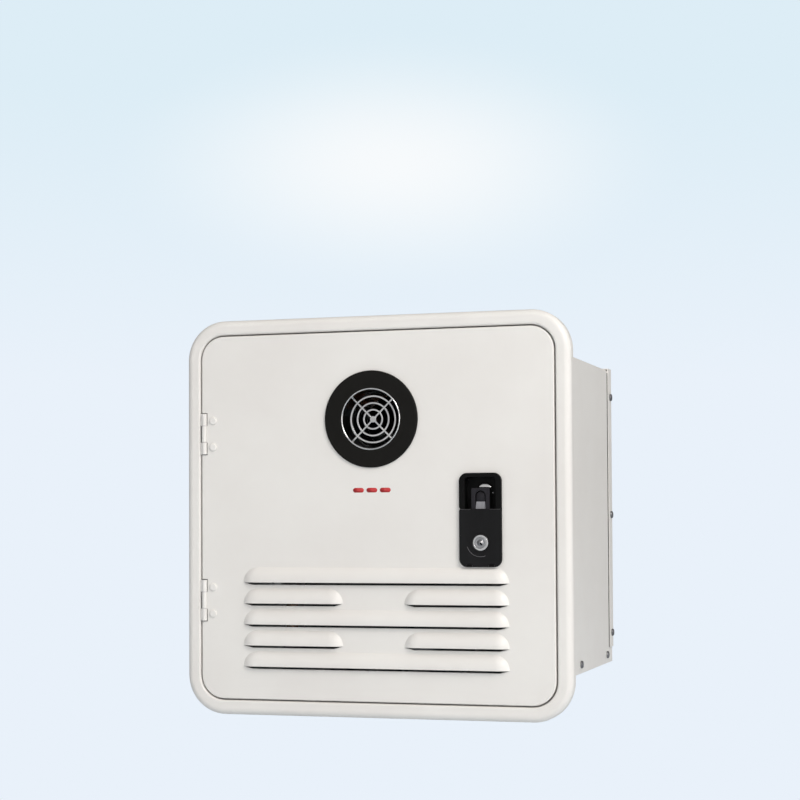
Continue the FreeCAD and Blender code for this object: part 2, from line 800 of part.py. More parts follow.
def door():
    """The door pan with its louvres, holes and hinge notches."""
    pan = Piece("door_panel")
    pan.pad("XZ", DOOR_FRONT, DOOR_BACK, square(DOOR, DOOR_CORNER))
    pan.fillet("door_round", lambda p, e: near(p.y, DOOR_FRONT))
    hollow = square(f"({DOOR}-door_skin)", f"({DOOR_CORNER}-door_skin)")
    pan.pocket("XZ", SKIN_BACK, f"({DOOR_BACK}-door_skin)", hollow)
    pan.pocket("XZ", f"({DOOR_BACK}-door_skin)", DOOR_BACK,
               square(f"({DOOR}-hem_width)", "opening_corner"))
    reach, split = "louvre_reach", "louvre_split"
    full = add_louvre(pan, neg(reach), reach, "louvre_bottom")
    pan.pattern(full, "Z", "2*louvre_pitch", 3)
    upper = "(louvre_bottom+louvre_pitch)"
    left = add_louvre(pan, neg(reach), neg(split), upper)
    pan.pattern(left, "Z", "2*louvre_pitch", 2)
    right = add_louvre(pan, split, reach, upper)
    pan.pattern(right, "Z", "2*louvre_pitch", 2)
    slots, windows = [], []
    for row in range(5):
        spans = [(neg(reach), reach)] if row % 2 == 0 else [(neg(reach), neg(split)), (split, reach)]
        lip = f"(louvre_bottom+{row}*louvre_pitch)"
        for start, end in spans:
            slots.append(("polygon", [
                (f"({start}+louvre_taper)", f"({lip}-louvre_slot)"),
                (f"({end}-louvre_taper)", f"({lip}-louvre_slot)"),
                (f"({end}-slot_inset)", lip), (f"({start}+slot_inset)", lip)]))
            windows.append(rect(f"({start}+louvre_height)", f"({end}-louvre_height)",
                                f"({lip}-louvre_slot/2)", f"({lip}+louvre_height-3*door_skin)"))
    pan.pocket("XZ", DOOR_FRONT, SKIN_BACK, *slots)
    pan.pocket("XZ", DOOR_FRONT, SKIN_BACK, *windows)
    pan.pocket(
        "XZ", DOOR_FRONT, SKIN_BACK,
        disc("flue_x", "flue_z", "(sleeve_radius+sleeve_clear)"),
        ("rounded", f"({LATCH_LEFT}+latch_rim)", f"({LATCH_RIGHT}-latch_rim)",
         "(latch_bottom+latch_rim)", "(latch_top-latch_rim)", "(latch_corner-latch_rim)"),
        *[disc(x, z, "(rivet_shank+2*rivet_clear)") for x, z in rivet_places()]
    )
    outside = f"(-{DOOR}-1)"
    wide = f"({HINGE_X}+knuckle_radius+notch_gap)"
    narrow = f"({HINGE_X}+knuckle_radius+notch_seat)"
    notches = []
    for side in (1, -1):
        low, high, middle = hinge_ends(side)
        below, above = f"({middle}-knuckle_middle/2)", f"({middle}+knuckle_middle/2)"
        notches.append(("polygon", [
            (outside, f"({low}-notch_gap)"), (wide, f"({low}-notch_gap)"), (wide, below),
            (narrow, below), (narrow, above), (wide, above), (wide, f"({high}+notch_gap)"),
            (outside, f"({high}+notch_gap)")]))
    pan.pocket("XZ", f"({DOOR_FRONT}-0.1)", DOOR_BACK, *notches)


def rivet_places():
    """Rivets of the door hinges, as (x, z)."""
    x = f"({HINGE_X}+rivet_reach)"
    return [(x, f"({i}*hinge_height+({j}*rivet_offset))") for i in (-1, 1) for j in (-1, 1)]


def hinges():
    """Both door hinges: leaves with knuckles, pins, rivets and screws."""
    fixed = Piece("hinge_leaves_case")
    moving = Piece("hinge_leaves_door")
    pins = Piece("hinge_pins")
    rivets = Piece("hinge_rivets")
    screws = Piece("hinge_screws")
    wall = f"(-{RECESS}+seat_gap)"
    foot = "(-ledge_skin-leaf_skin)"
    for side in (1, -1):
        low, high, middle = hinge_ends(side)
        split = "knuckle_middle/2"
        knuckle = disc(HINGE_X, HINGE_Y, "knuckle_radius")
        bore = disc(HINGE_X, HINGE_Y, "pin_radius")
        arm = rect(wall, f"({wall}+leaf_skin)", HINGE_Y, "-ledge_skin")
        bridge = rect(wall, HINGE_X, HINGE_Y, f"({HINGE_Y}+bridge_thick)")
        fixed.pad("XY", low, high,
                  rect(wall, f"({HINGE_X}+foot_width)", foot, "-ledge_skin"))
        for start, end in ((low, f"({middle}-{split})"), (f"({middle}+{split})", high)):
            fixed.pad("XY", start, end, arm)
            fixed.pad("XY", start, end, bridge)
            fixed.pad("XY", start, end, knuckle)
            fixed.pocket("XY", start, end, bore)
        start = f"({middle}-{split}+knuckle_gap)"
        end = f"({middle}+{split}-knuckle_gap)"
        plate_back = f"({SKIN_BACK}+leaf_gap+leaf_skin)"
        plate = rect(f"({HINGE_X}+knuckle_radius+notch_gap)", f"({HINGE_X}+leaf_width)",
                     f"({SKIN_BACK}+leaf_gap)", plate_back)
        moving.pad("XY", low, high, plate)
        tab = rect(HINGE_X, f"({HINGE_X}+knuckle_radius+notch_gap+tab_lap)",
                   f"({SKIN_BACK}+leaf_gap)", plate_back)
        moving.pad("XY", start, end, tab)
        moving.pad("XY", start, end, knuckle)
        moving.pocket("XY", start, end, disc(HINGE_X, HINGE_Y, "(pin_radius+pin_clear)"))
        pins.pad("XY", low, high, bore)
    shanks = [disc(x, z, "rivet_shank") for x, z in rivet_places()]
    heads = [disc(x, z, "rivet_radius") for x, z in rivet_places()]
    moving.pocket("XZ", SKIN_BACK, f"({SKIN_BACK}+leaf_skin+2*leaf_gap)", *[
        disc(x, z, "(rivet_shank+rivet_clear)") for x, z in rivet_places()
    ])
    rivets.pad("XZ", f"({DOOR_FRONT}-rivet_proud)", DOOR_FRONT, *heads)
    rivets.fillet("rivet_proud-rivet_edge", lambda p, e: near(p.y, f"({DOOR_FRONT}-rivet_proud)"))
    rivets.pad("XZ", DOOR_FRONT, f"({SKIN_BACK}+leaf_skin+rivet_tail)", *shanks)
    places = [(f"({HINGE_X}+foot_screw_reach)", f"({i}*hinge_height+({j}*foot_screw_offset))")
              for i in (-1, 1) for j in (-1, 1)]
    holes, heads, shanks = (
        [disc(x, z, radius) for x, z in places]
        for radius in ("(foot_screw_radius+screw_clear)", "foot_screw_head", "foot_screw_radius")
    )
    fixed.pocket("XZ", foot, "-ledge_skin", *holes)
    screws.pad("XZ", f"({foot}-foot_screw_rise)", foot, *heads)
    screws.pad("XZ", foot, "-ledge_skin", *shanks)


def flue_outlet():
    """The round outlet in the door: black ring, back plate, bright sleeve and wire grille."""
    origin = ("flue_x", "0")

    def turned(label, *corners):
        piece = Piece(label)
        piece.turn("Revolution", "XY", "flue_z", [("polygon", list(corners))], origin, "V_Axis")
        return piece

    ring_in = "(sleeve_radius+seat_gap)"
    front = f"({DOOR_FRONT}-ring_proud)"
    turned("vent_collar",
           (ring_in, front), ("(ring_radius-ring_edge)", front), ("ring_radius", f"({front}+ring_edge)"),
           ("ring_radius", DOOR_FRONT), (ring_in, DOOR_FRONT))
    plate_back = f"({SKIN_BACK}+plate_skin)"
    turned("vent_backplate",
           (ring_in, SKIN_BACK), ("(ring_radius-plate_inset)", SKIN_BACK),
           ("(ring_radius-plate_inset)", plate_back), (ring_in, plate_back))
    sleeve_in = "(sleeve_radius-sleeve_skin)"
    rim = f"({front}-sleeve_proud)"
    turned("vent_sleeve",
           (sleeve_in, f"({rim}+sleeve_edge)"), (f"({sleeve_in}+sleeve_bevel)", rim),
           ("(sleeve_radius-sleeve_bevel)", rim), ("sleeve_radius", f"({rim}+sleeve_edge)"),
           ("sleeve_radius", "sleeve_back"), (sleeve_in, "sleeve_back"))
    grille = Piece("vent_grille")
    face = f"({rim}+grille_sunk)"
    back = f"({face}+grille_wire)"
    rings = [("grille_ring_a+grille_wire/2", "grille_ring_a-grille_wire/2"),
             ("grille_ring_b+grille_wire/2", "grille_ring_b-grille_wire/2"),
             ("grille_ring_c+grille_wire/2", "grille_ring_c-grille_wire/2")]
    circles = [disc("flue_x", "flue_z", f"({r})") for pair in rings for r in pair]
    grille.pad("XZ", face, back, *circles)
    grille.pad("XZ", face, back, disc("flue_x", "flue_z", "grille_hub"))
    spoke = grille.pad("XZ", f"({face}+spoke_inset)", f"({back}-spoke_inset)",
                       rect("spoke_start", f"({sleeve_in}-grille_clear)", "-grille_wire/2", "grille_wire/2"),
                       origin=("flue_x", "flue_z"), angle=45.0)
    grille.spokes([spoke], "N_Axis", 4)


def latch():
    """The door latch: housing with finger cup and tub, and all that it holds."""
    body = Piece("latch_body")
    inset = "(latch_rim+latch_clear)"
    tub_left, tub_right = f"({LATCH_LEFT}+{inset})", f"({LATCH_RIGHT}-{inset})"
    tub = ("rounded", tub_left, tub_right, f"(latch_bottom+{inset})", f"(latch_top-{inset})",
           f"(latch_corner-{inset})")
    whole = ("rounded", LATCH_LEFT, LATCH_RIGHT, "latch_bottom", "latch_top", "latch_corner")
    body.pad("XZ", LIP_FRONT, DOOR_FRONT, whole)
    body.pad("XZ", LATCH_FRONT, LIP_FRONT, ("rounded", LATCH_LEFT, LATCH_RIGHT, "latch_split",
             "(latch_top-latch_corner)", "latch_notch"))
    body.pad("XZ", LATCH_FRONT, LIP_FRONT, ("rounded", LATCH_LEFT, LATCH_RIGHT,
             "(latch_split+latch_notch)", "latch_top", "latch_corner"))
    body.pad("XZ", DOOR_FRONT, "tub_back", tub)
    body.pocket("XZ", LATCH_FRONT, f"({LATCH_FRONT}+cup_depth)",
                ("rounded", f"({LATCH_LEFT}+cup_wall)", f"({LATCH_RIGHT}-cup_wall)",
                 "(latch_split-cup_drop)", "(latch_top-latch_rim-cup_roof)", "cup_corner"))
    body.pocket("XZ", LIP_FRONT, "(tub_back-tub_skin)",
                rect(f"({tub_left}+tub_wall)", f"({tub_right}-tub_wall)", "(latch_bottom+tub_rise)",
                     "(latch_split-tub_drop)"))
    tunnel = rect("(bolt_front-bolt_clear)", "(bolt_front+bolt_thick+bolt_clear)",
                  "(bolt_z-bolt_height/2-bolt_clear)", "(bolt_z+bolt_height/2+bolt_clear)")
    body.pocket("YZ", "(latch_x-bolt_start-bolt_room)", f"({tub_right}+1)", tunnel)
    lugs = [rect(f"(latch_x+{a})", f"(latch_x+{b})", "latch_bottom", "(latch_bottom+lug_height)")
            for a, b in (("lug_offset", "lug_offset+lug_width"),
                         ("(-lug_offset-lug_width)", "(-lug_offset)"))]
    body.pad("XZ", LATCH_FRONT, LIP_FRONT, *lugs)
    span = ("(latch_x-lug_offset-lug_width)", "(latch_x+lug_offset+lug_width)")
    body.pocket("YZ", *span, disc(PADDLE_PIN_Y, PADDLE_PIN_Z, "paddle_pin_radius"))
    pin = Piece("paddle_pin")
    pin.pad("YZ", *span, disc(PADDLE_PIN_Y, PADDLE_PIN_Z, "paddle_pin_radius"))
    stud = Piece("latch_stud")
    floor = f"({LATCH_FRONT}+cup_depth)"
    stud.turn("Revolution", "XY", "stud_z", [("polygon", [
        ("0", floor), ("stud_radius", floor), ("stud_radius", f"({floor}-stud_edge)"),
        ("(stud_radius*0.8)", f"({floor}-stud_bevel)"), ("(stud_radius*0.45)", f"({floor}-stud_crown)"),
        ("0", f"({floor}-stud_rise)")])], ("latch_x+stud_shift", "0"), "V_Axis")
    paddle(span)
    bolt = Piece("latch_bolt")
    tip = f"({OPEN}-striker_reach-bolt_gap)"
    bolt.pad("YZ", "(latch_x-bolt_start)", tip,
             rect("bolt_front", "(bolt_front+bolt_thick)",
                  "(bolt_z-bolt_height/2)", "(bolt_z+bolt_height/2)"))
    bolt.fillet("bolt_round", lambda p, e: near(p.x, tip))
    striker = Piece("latch_striker")
    heights = ("(bolt_z-striker_height/2)", "(bolt_z+striker_height/2)")
    wall = f"({OPEN}-seat_gap)"
    striker.pad("XY", *heights, rect(f"({OPEN}-striker_reach)", wall, "-ledge_skin", "0"))
    striker.pad("XY", *heights, rect(f"({wall}-striker_skin)", wall, "-ledge_skin",
                                     "(collar_depth-striker_inset)"))


def paddle(span):
    """The swinging plate with lock boss, tongue, release button, lock and cam."""
    plate = Piece("latch_paddle")
    low, high = "latch_bottom", "(latch_split-paddle_clear)"
    plate.pad("XZ", LATCH_FRONT, PADDLE_BACK, ("rounded", LATCH_LEFT, LATCH_RIGHT, low,
              f"({high}-latch_notch)", "latch_corner"))
    plate.pad("XZ", LATCH_FRONT, PADDLE_BACK, ("rounded", LATCH_LEFT, LATCH_RIGHT,
              "(latch_bottom+latch_corner)", high, "latch_notch"))
    plate.fillet("paddle_round", lambda p, e: near(p.y, PADDLE_BACK)
                 and p.z < value("latch_bottom+latch_corner-paddle_round"))
    boss_back = f"({LATCH_FRONT}+lock_length-boss_inset)"
    plate.pad("XZ", PADDLE_BACK, boss_back, disc("latch_x", "lock_z", "(lock_radius+boss_wall)"))
    plate.pocket("XZ", LATCH_FRONT, boss_back,
                 disc("latch_x", "lock_z", "(lock_radius+lock_clear)"))
    notch = [rect(f"(latch_x+{a})", f"(latch_x+{b})", "(latch_bottom-lug_run)",
                  "(latch_bottom+lug_height+lug_room)")
             for a, b in (("lug_offset-paddle_clear", "lug_offset+lug_width+paddle_clear"),
                          ("(-lug_offset-lug_width-paddle_clear)", "(paddle_clear-lug_offset)"))]
    plate.pocket("XZ", LATCH_FRONT, PADDLE_BACK, *notch)
    plate.pocket("YZ", *span,
                 disc(PADDLE_PIN_Y, PADDLE_PIN_Z, "(paddle_pin_radius+pin_clear)"))
    tongue = Piece("latch_tongue")
    left, right = "(latch_x-tongue_width/2)", "(latch_x+tongue_width/2)"
    face = f"({LATCH_FRONT}+tongue_sunk)"
    back = f"({face}+tongue_thick)"
    tongue.pad("XZ", face, back,
               ("rounded", left, right, "latch_split", "(latch_split+tongue_rise)",
                "tongue_corner"))
    tongue.pad("XZ", f"({PADDLE_BACK}+tongue_gap)", back,
               rect(left, right, "(latch_split-tongue_tail)", "(latch_split+tongue_lap)"))
    tongue.pocket("XZ", face, back,
                  ("rounded", "(latch_x-slot_width/2)", "(latch_x+slot_width/2)",
                   "(latch_split-slot_drop)", "(latch_split+slot_rise)", "(slot_width/2-slot_edge)"))
    button = Piece("release_button")
    half, top = "(slot_width/2-paddle_clear)", "(slot_width/2-button_slim)"
    button.pad("XZ", f"({face}+button_sunk)", f"({back}+button_tail)", ("polygon", [
        (f"(latch_x-{half})", "latch_split"), (f"(latch_x+{half})", "latch_split"),
        (f"(latch_x+{top})", "(latch_split+button_rise)"),
        (f"(latch_x-{top})", "(latch_split+button_rise)")]))
    lock = Piece("lock_cylinder")
    front, rear = f"({LATCH_FRONT}-lock_proud)", f"({LATCH_FRONT}-lock_proud+lock_length)"
    lock.pad("XZ", front, rear, disc("latch_x", "lock_z", "lock_radius"))
    lock.fillet("lock_round", lambda p, e: near(p.y, front))
    lock.pocket("XZ", front, f"({front}+lock_sunk)",
                disc("latch_x", "lock_z", "(lock_radius-lock_rim)"))
    lock.pocket("XZ", front, f"({front}+key_depth)", rect("(latch_x-key_half)",
                "(latch_x+key_half)", "(lock_z-key_reach)", "(lock_z+key_reach)"))
    cam = Piece("lock_cam")
    cam.pad("XZ", rear, f"({rear}+cam_skin)", ("rounded", "(latch_x-cam_half)",
            "(latch_x+cam_half)", "(lock_z-cam_half)", "(lock_z+cam_reach)", "cam_corner"))


def stack():
    """Burner, heat exchanger, hood and flue pipe, one above the other."""
    left, right, front, back = STACK_LEFT, STACK_RIGHT, "stack_front", STACK_BACK
    outer = rect(left, right, front, back)
    inner = rect(f"({left}+stack_skin)", f"({right}-stack_skin)", f"({front}+stack_skin)",
                 f"({back}-stack_skin)")
    burner = Piece("burner_box")
    burner.pad("XY", "burner_bottom", "burner_top", outer)
    burner.pocket("XY", "(burner_bottom+stack_skin)", "burner_top", inner)
    burner.pocket("XY", "burner_bottom", "(burner_bottom+stack_skin)", fan_outlet())
    nozzles = [disc(bar_x(i), "manifold_z", "(nozzle_radius+probe_clear)")
               for i in range(int(SIZES["bar_count"]))]
    probes = [disc(f"(flue_x+{i}*probe_x)", "probe_z", "(probe_radius+probe_clear)") for i in (-1, 1)]
    burner.pocket("XZ", f"({front}-1)", f"({front}+stack_skin+1)", *nozzles, *probes)
    bars = Piece("burner_bars")
    start, end = f"({front}+stack_skin+bar_clear)", f"({back}-stack_skin-bar_clear)"
    places = [bar_x(i) for i in range(int(SIZES["bar_count"]))]
    bars.pad("XY", "bar_bottom", "bar_top", *[
        ("rounded", f"({x}-bar_thick/2)", f"({x}+bar_thick/2)", start, end, "bar_corner")
        for x in places
    ])
    bars.pocket("XY", "bar_bottom", "(bar_top-bar_skin)", *[
        rect(f"({x}-bar_thick/2+bar_skin)", f"({x}+bar_thick/2-bar_skin)",
             f"({start}+bar_corner)", f"({end}-bar_corner)") for x in places
    ])
    manifold = Piece("gas_manifold")
    manifold.pad("YZ", "(valve_x+valve_width/2)", f"({bar_x('bar_count-1')}+manifold_end)",
                 disc("manifold_y", "manifold_z", "manifold_radius"))
    manifold.pad("XZ", "(manifold_y+manifold_radius/2)", f"({front}+stack_skin)", *[
        disc(bar_x(i), "manifold_z", "nozzle_radius") for i in range(int(SIZES["bar_count"]))
    ])
    for label, side in (("spark_electrode", -1), ("flame_probe", 1)):
        probe = Piece(label)
        x = f"(flue_x+{side}*probe_x)"
        probe.pad("XZ", f"({front}-probe_out)", f"({front}+probe_in)",
                  disc(x, "probe_z", "probe_radius"))
        probe.pad("XZ", f"({front}-seat_gap-probe_flange_skin)", f"({front}-seat_gap)",
                  disc(x, "probe_z", "probe_flange"))
        probe.pad("XZ", f"({front}+probe_in)", f"({front}+probe_tip)",
                  disc(x, "probe_z", "probe_rod"))
    core = Piece("exchanger_core")
    low, high = "(burner_top+sheet_gap)", "exchanger_top"
    core.pad("XY", low, high, outer, inner)
    first = f"(flue_x-((fin_count-1)*fin_pitch+fin_thick)/2)"
    fin = core.pad("XY", "fin_bottom", "fin_top",
                   rect(first, f"({first}+fin_thick)", f"({front}+stack_skin/2)",
                        f"({back}-stack_skin/2)"))
    core.pattern([fin], "X", "fin_pitch", "fin_count")
    core.pad("YZ", left, right, *[
        disc(f"(tube_first+{i}*tube_pitch)", "tube_z", "tube_radius") for i in range(4)
    ])
    bends = Piece("exchanger_bends")
    for face, index, back_way in ((right, 0, False), (right, 2, False), (left, 1, True)):
        y = f"(tube_first+({index}+0.5)*tube_pitch)"
        bends.turn("Revolution", "YZ", face, [disc("-tube_pitch/2", "0", "tube_radius")],
                   (y, "tube_z"), "V_Axis", 180, back_way)
    hood = Piece("flue_hood")
    base = "(exchanger_top+sheet_gap)"
    skin = "stack_skin"
    slope_y, slope_z = f"({front}+hood_front_run)", f"({base}+hood_back_rise)"
    hood.pad("YZ", left, right, ("polygon", [
        (front, base), (back, base), (back, slope_z), (slope_y, "hood_top"),
        (front, "hood_top")]))
    hood.pocket("YZ", f"({left}+{skin})", f"({right}-{skin})", ("polygon", [
        (f"({front}+{skin})", base), (f"({back}-{skin})", base),
        (f"({back}-{skin})", f"({slope_z}-{skin}/2)"),
        (f"({slope_y}-{skin}/2)", f"(hood_top-{skin})"),
        (f"({front}+{skin})", f"(hood_top-{skin})")]))
    hood.pocket("XZ", f"({front}-1)", f"({front}+{skin}+1)",
                disc("flue_x", "flue_z", "(flue_pipe_radius-flue_pipe_skin)"))
    pipe = Piece("flue_pipe")
    start = "(sleeve_back+flue_seal_gap+flue_seal_thick)"
    inside = disc("flue_x", "flue_z", "(flue_pipe_radius-flue_pipe_skin)")
    pipe.pad("XZ", start, f"({front}-seat_gap)", disc("flue_x", "flue_z", "flue_pipe_radius"), inside)
    pipe.pad("XZ", f"({front}-seat_gap-flue_flange_skin)", f"({front}-seat_gap)",
             disc("flue_x", "flue_z", "(flue_pipe_radius+flue_flange)"), inside)
    seal = Piece("flue_seal")
    seal.pad("XZ", "(sleeve_back+flue_seal_gap)", start,
             disc("flue_x", "flue_z", "(flue_pipe_radius+flue_seal_lip)"), inside)


def bar_x(index):
    """The middle of one burner bar."""
    return f"(flue_x+(({index})-(bar_count-1)/2)*bar_pitch)"


def fan_outlet():
    """The slot that joins fan housing and burner box."""
    return rect("(flue_x-outlet_half)", "(flue_x+outlet_half)",
                "(fan_y+wheel_radius+outlet_clear)", "(fan_y+fan_radius-fan_skin-outlet_clear)")


def fan():
    """The fan under the burner: round housing on feet, motor, shaft and bladed wheel."""
    axis = ("flue_x", "fan_y")
    bottom, top = "fan_bottom", "(burner_bottom-sheet_gap)"
    housing = Piece("fan_housing")
    housing.pad("XY", bottom, top, disc(*axis, "fan_radius"))
    housing.pocket("XY", f"({bottom}+fan_skin)", f"({top}-fan_skin)",
                   disc(*axis, "(fan_radius-fan_skin)"))
    housing.pocket("XY", f"({top}-fan_skin)", top, fan_outlet())
    housing.pocket("XY", bottom, f"({bottom}+fan_skin)", disc(*axis, "fan_inlet"))
    housing.pad("XY", bottom, f"({bottom}+fan_skin)", disc(*axis, "motor_radius"))
    arm = housing.pad("XY", bottom, f"({bottom}+fan_skin)",
                      rect("(motor_radius-arm_lap)", "(fan_inlet+arm_lap)", "-arm_half", "arm_half"),
                      origin=axis)
    housing.spokes([arm], "N_Axis", 3)
    foot = housing.pad("XY", f"(case_skin-{CASE})", bottom,
                       disc("(fan_radius-foot_inset)", "0", "foot_radius"), origin=axis)
    housing.spokes([foot], "N_Axis", 4)
    motor = Piece("fan_motor")
    motor_top = f"({bottom}+motor_height)"
    motor.pad("XY", f"({bottom}+fan_skin)", motor_top, disc(*axis, "motor_radius"))
    motor.fillet("motor_round", lambda p, e: near(p.z, motor_top))
    motor.pocket("XY", f"({motor_top}-shaft_socket)", motor_top, disc(*axis, "(shaft_radius+pin_clear)"))
    hub = f"({motor_top}+wheel_rise)"
    hub_top = f"({motor_top}+wheel_rise+wheel_skin)"
    shaft = Piece("fan_shaft")
    shaft.pad("XY", f"({motor_top}-shaft_socket+shaft_end_gap)", f"({hub_top}+shaft_end)",
              disc(*axis, "shaft_radius"))
    wheel = Piece("fan_wheel")
    wheel.pad("XY", hub, hub_top, disc(*axis, "wheel_radius"), disc(*axis, "shaft_radius"))
    low = f"({bottom}+fan_skin+wheel_clear)"
    wheel.pad("XY", low, f"({low}+ring_skin)", disc(*axis, "wheel_radius"),
              disc(*axis, "(wheel_radius-ring_width)"))
    blade = wheel.pad("XY", low, hub, ("polygon", [
        ("wheel_inner", "0"), ("(wheel_radius*0.95)", "(wheel_radius*0.25)"),
        ("(wheel_radius*0.95-0.5)", "(wheel_radius*0.25+blade_thick)"),
        ("(wheel_inner-0.5)", "blade_thick")]), origin=axis)
    wheel.spokes([blade], "N_Axis", "blade_count")


def hexagon(x, z, radius):
    """A six-sided outline with two corners on the level line."""
    turns = [(1, 0), (0.5, 0.866), (-0.5, 0.866), (-1, 0), (-0.5, -0.866), (0.5, -0.866)]
    return ("polygon", [(f"({x}+{a}*{radius})", f"({z}+{b}*{radius})") for a, b in turns])


def fitting(label, x, z, inner, neck, hexa, thread, length, bore):
    """A pipe end through the rear cover: neck, hexagon, thread and bore."""
    piece = Piece(label)
    seat = "(case_depth+seat_gap)"
    nose = f"({seat}+nose_length)"
    piece.pad("XZ", inner, seat, disc(x, z, neck))
    piece.pad("XZ", seat, nose, hexagon(x, z, hexa))
    piece.pad("XZ", nose, f"({nose}+{length})", disc(x, z, thread))
    piece.pocket("XZ", f"({inner}+bore_start)", f"({nose}+{length})", disc(x, z, bore))
    return piece


def gas():
    """Gas valve with its coils, supply pipe and inlet fitting."""
    x0, x1 = "(valve_x-valve_width/2)", "(valve_x+valve_width/2)"
    y0, y1 = "(manifold_y-valve_front)", "(manifold_y-valve_front+valve_depth)"
    valve = Piece("gas_valve")
    valve.pad("XY", "valve_bottom", "valve_top", ("rounded", x0, x1, y0, y1, "valve_corner"))
    valve.pad("XZ", f"({y0}-cap_rise)", y0,
              disc("valve_x", "(valve_bottom+cap_z)", "cap_radius"))
    valve.fillet("cap_round", lambda p, e: near(p.y, f"({y0}-cap_rise)"))
    coils = Piece("valve_coils")
    spots = [disc(f"(valve_x+{i}*(coil_radius+coil_gap))", "manifold_y", "coil_radius")
             for i in (-1, 1)]
    coils.pad("XY", "valve_top", "(valve_top+coil_height)", *spots)
    bracket = Piece("valve_bracket")
    bracket.pad("YZ", f"({x0}+bracket_inset)", f"({x1}-bracket_inset)", rect(
        "manifold_y", "(manifold_y+bracket_skin)", f"(case_skin-{CASE})", "valve_bottom"))
    bracket.pad("YZ", f"({x0}+bracket_inset)", f"({x1}-bracket_inset)", rect(
        "manifold_y", "(manifold_y+bracket_foot)", f"(case_skin-{CASE})", f"(case_skin*2-{CASE})"))
    pipe = Piece("gas_pipe")
    pipe.pad("XZ", y1, "fitting_inner", disc("gas_x", "gas_z", "gas_pipe_radius"))
    fitting("gas_inlet", "gas_x", "gas_z", "fitting_inner", "gas_neck", "gas_hex", "gas_thread",
            "(fitting_length-gas_shorter)", "gas_bore")


def water():
    """Cold line with flow sensor, hot line with relief valve, and both fittings."""
    tube = "tube_radius"
    last = "(tube_first+3*tube_pitch)"
    turn_x = "(water_x+pipe_bend)"
    cold = Piece("cold_pipe")
    cold.pad("YZ", turn_x, STACK_LEFT, disc("tube_first", "tube_z", tube))
    cold.turn("Revolution", "YZ", turn_x, [disc("0", "pipe_bend", tube)],
              ("tube_first", "(tube_z-pipe_bend)"), "H_Axis", 90, True)
    cold.pad("XY", "(cold_z+pipe_bend)", "(tube_z-pipe_bend)",
             disc("water_x", "tube_first", tube))
    cold.turn("Revolution", "XY", "(cold_z+pipe_bend)", [disc("0", "-pipe_bend", tube)],
              ("water_x", "(tube_first+pipe_bend)"), "H_Axis", 90, False)
    cold.pad("XZ", "(tube_first+pipe_bend)", "sensor_start", disc("water_x", "cold_z", tube))
    hot = Piece("hot_pipe")
    hot.pad("YZ", turn_x, STACK_LEFT, disc(last, "tube_z", tube))
    hot.turn("Revolution", "YZ", turn_x, [disc("-pipe_bend", "0", tube)],
             (f"({last}+pipe_bend)", "tube_z"), "V_Axis", 90, True)
    hot.pad("XZ", f"({last}+pipe_bend)", "fitting_inner", disc("water_x", "tube_z", tube))
    middle = "(sensor_start+sensor_length/2)"
    end = "(sensor_start+sensor_length)"
    sensor = Piece("flow_sensor")
    sensor.pad("XZ", "sensor_start", end, disc("water_x", "cold_z", "sensor_radius"))
    sensor.pocket("XZ", "(sensor_start+sensor_wall)",
                  "(sensor_start+sensor_length-sensor_wall)",
                  disc("water_x", "cold_z", "sensor_bore"))
    sensor.pad("XY", "(cold_z+sensor_radius-sensor_cap_sunk)",
               "(cold_z+sensor_radius+sensor_cap_rise)",
               rect("(water_x-sensor_cap_half)", "(water_x+sensor_cap_half)",
                    f"({middle}-sensor_cap_reach)", f"({middle}+sensor_cap_reach)"))
    rotor = Piece("flow_rotor")
    start = f"({middle}-rotor_length/2)"
    stop = f"({middle}+rotor_length/2)"
    rotor.pad("XZ", start, stop, disc("water_x", "cold_z", "rotor_hub"))
    vane = rotor.pad("XZ", start, stop, rect("vane_start", "(sensor_bore-rotor_clear)",
                                         "-vane_half", "vane_half"),
                     origin=("water_x", "cold_z"))
    rotor.spokes([vane], "N_Axis", 6)
    size = ("tube_radius", "fitting_hex", "water_thread", "fitting_length", "water_bore")
    fitting("cold_inlet", "water_x", "cold_z", end, *size)
    fitting("hot_outlet", "water_x", "tube_z", "fitting_inner", *size)
    relief = Piece("relief_valve")
    foot = "(tube_z+tube_radius+seat_gap)"
    relief.pad("XY", foot, f"({foot}+relief_base)", rect("(water_x-relief_half)",
               "(water_x+relief_half)", "(relief_y-relief_reach)", "(relief_y+relief_reach)"))
    relief.pad("XY", f"({foot}+relief_base)", f"({foot}+relief_height)",
               disc("water_x", "relief_y", "relief_radius"))
    lever = Piece("relief_lever")
    top = f"({foot}+relief_height+lever_gap)"
    lever.pad("XY", top, f"({top}+lever_skin)", ("rounded", "(water_x-lever_half)",
              "(water_x+lever_half)", "(relief_y-lever_back)", "(relief_y+lever_reach)",
              "lever_corner"))
    lever.pad("YZ", "(water_x-barrel_half)", "(water_x+barrel_half)",
              disc("(relief_y-lever_back)", f"({top}+lever_skin/2)", "lever_skin/2"))
    lever.pocket("XY", top, f"({top}+lever_skin)",
                 disc("water_x", "(relief_y+lever_hole_reach)", "lever_hole"))
    stats = Piece("thermostats")
    spots = [disc(f"(flue_x+{i})", "tube_z", "stat_radius") for i in ("stat_left", "stat_right")]
    flats = [rect(f"(flue_x+{i}-stat_half)", f"(flue_x+{i}+stat_half)", "(tube_z-stat_rise)",
                  "(tube_z+stat_rise)") for i in ("stat_left", "stat_right")]
    stats.pad("XZ", "(stack_front-stat_front)", "(stack_front-stat_flat)", *spots)
    stats.pad("XZ", "(stack_front-stat_flat)", "(stack_front-seat_gap)", *flats)


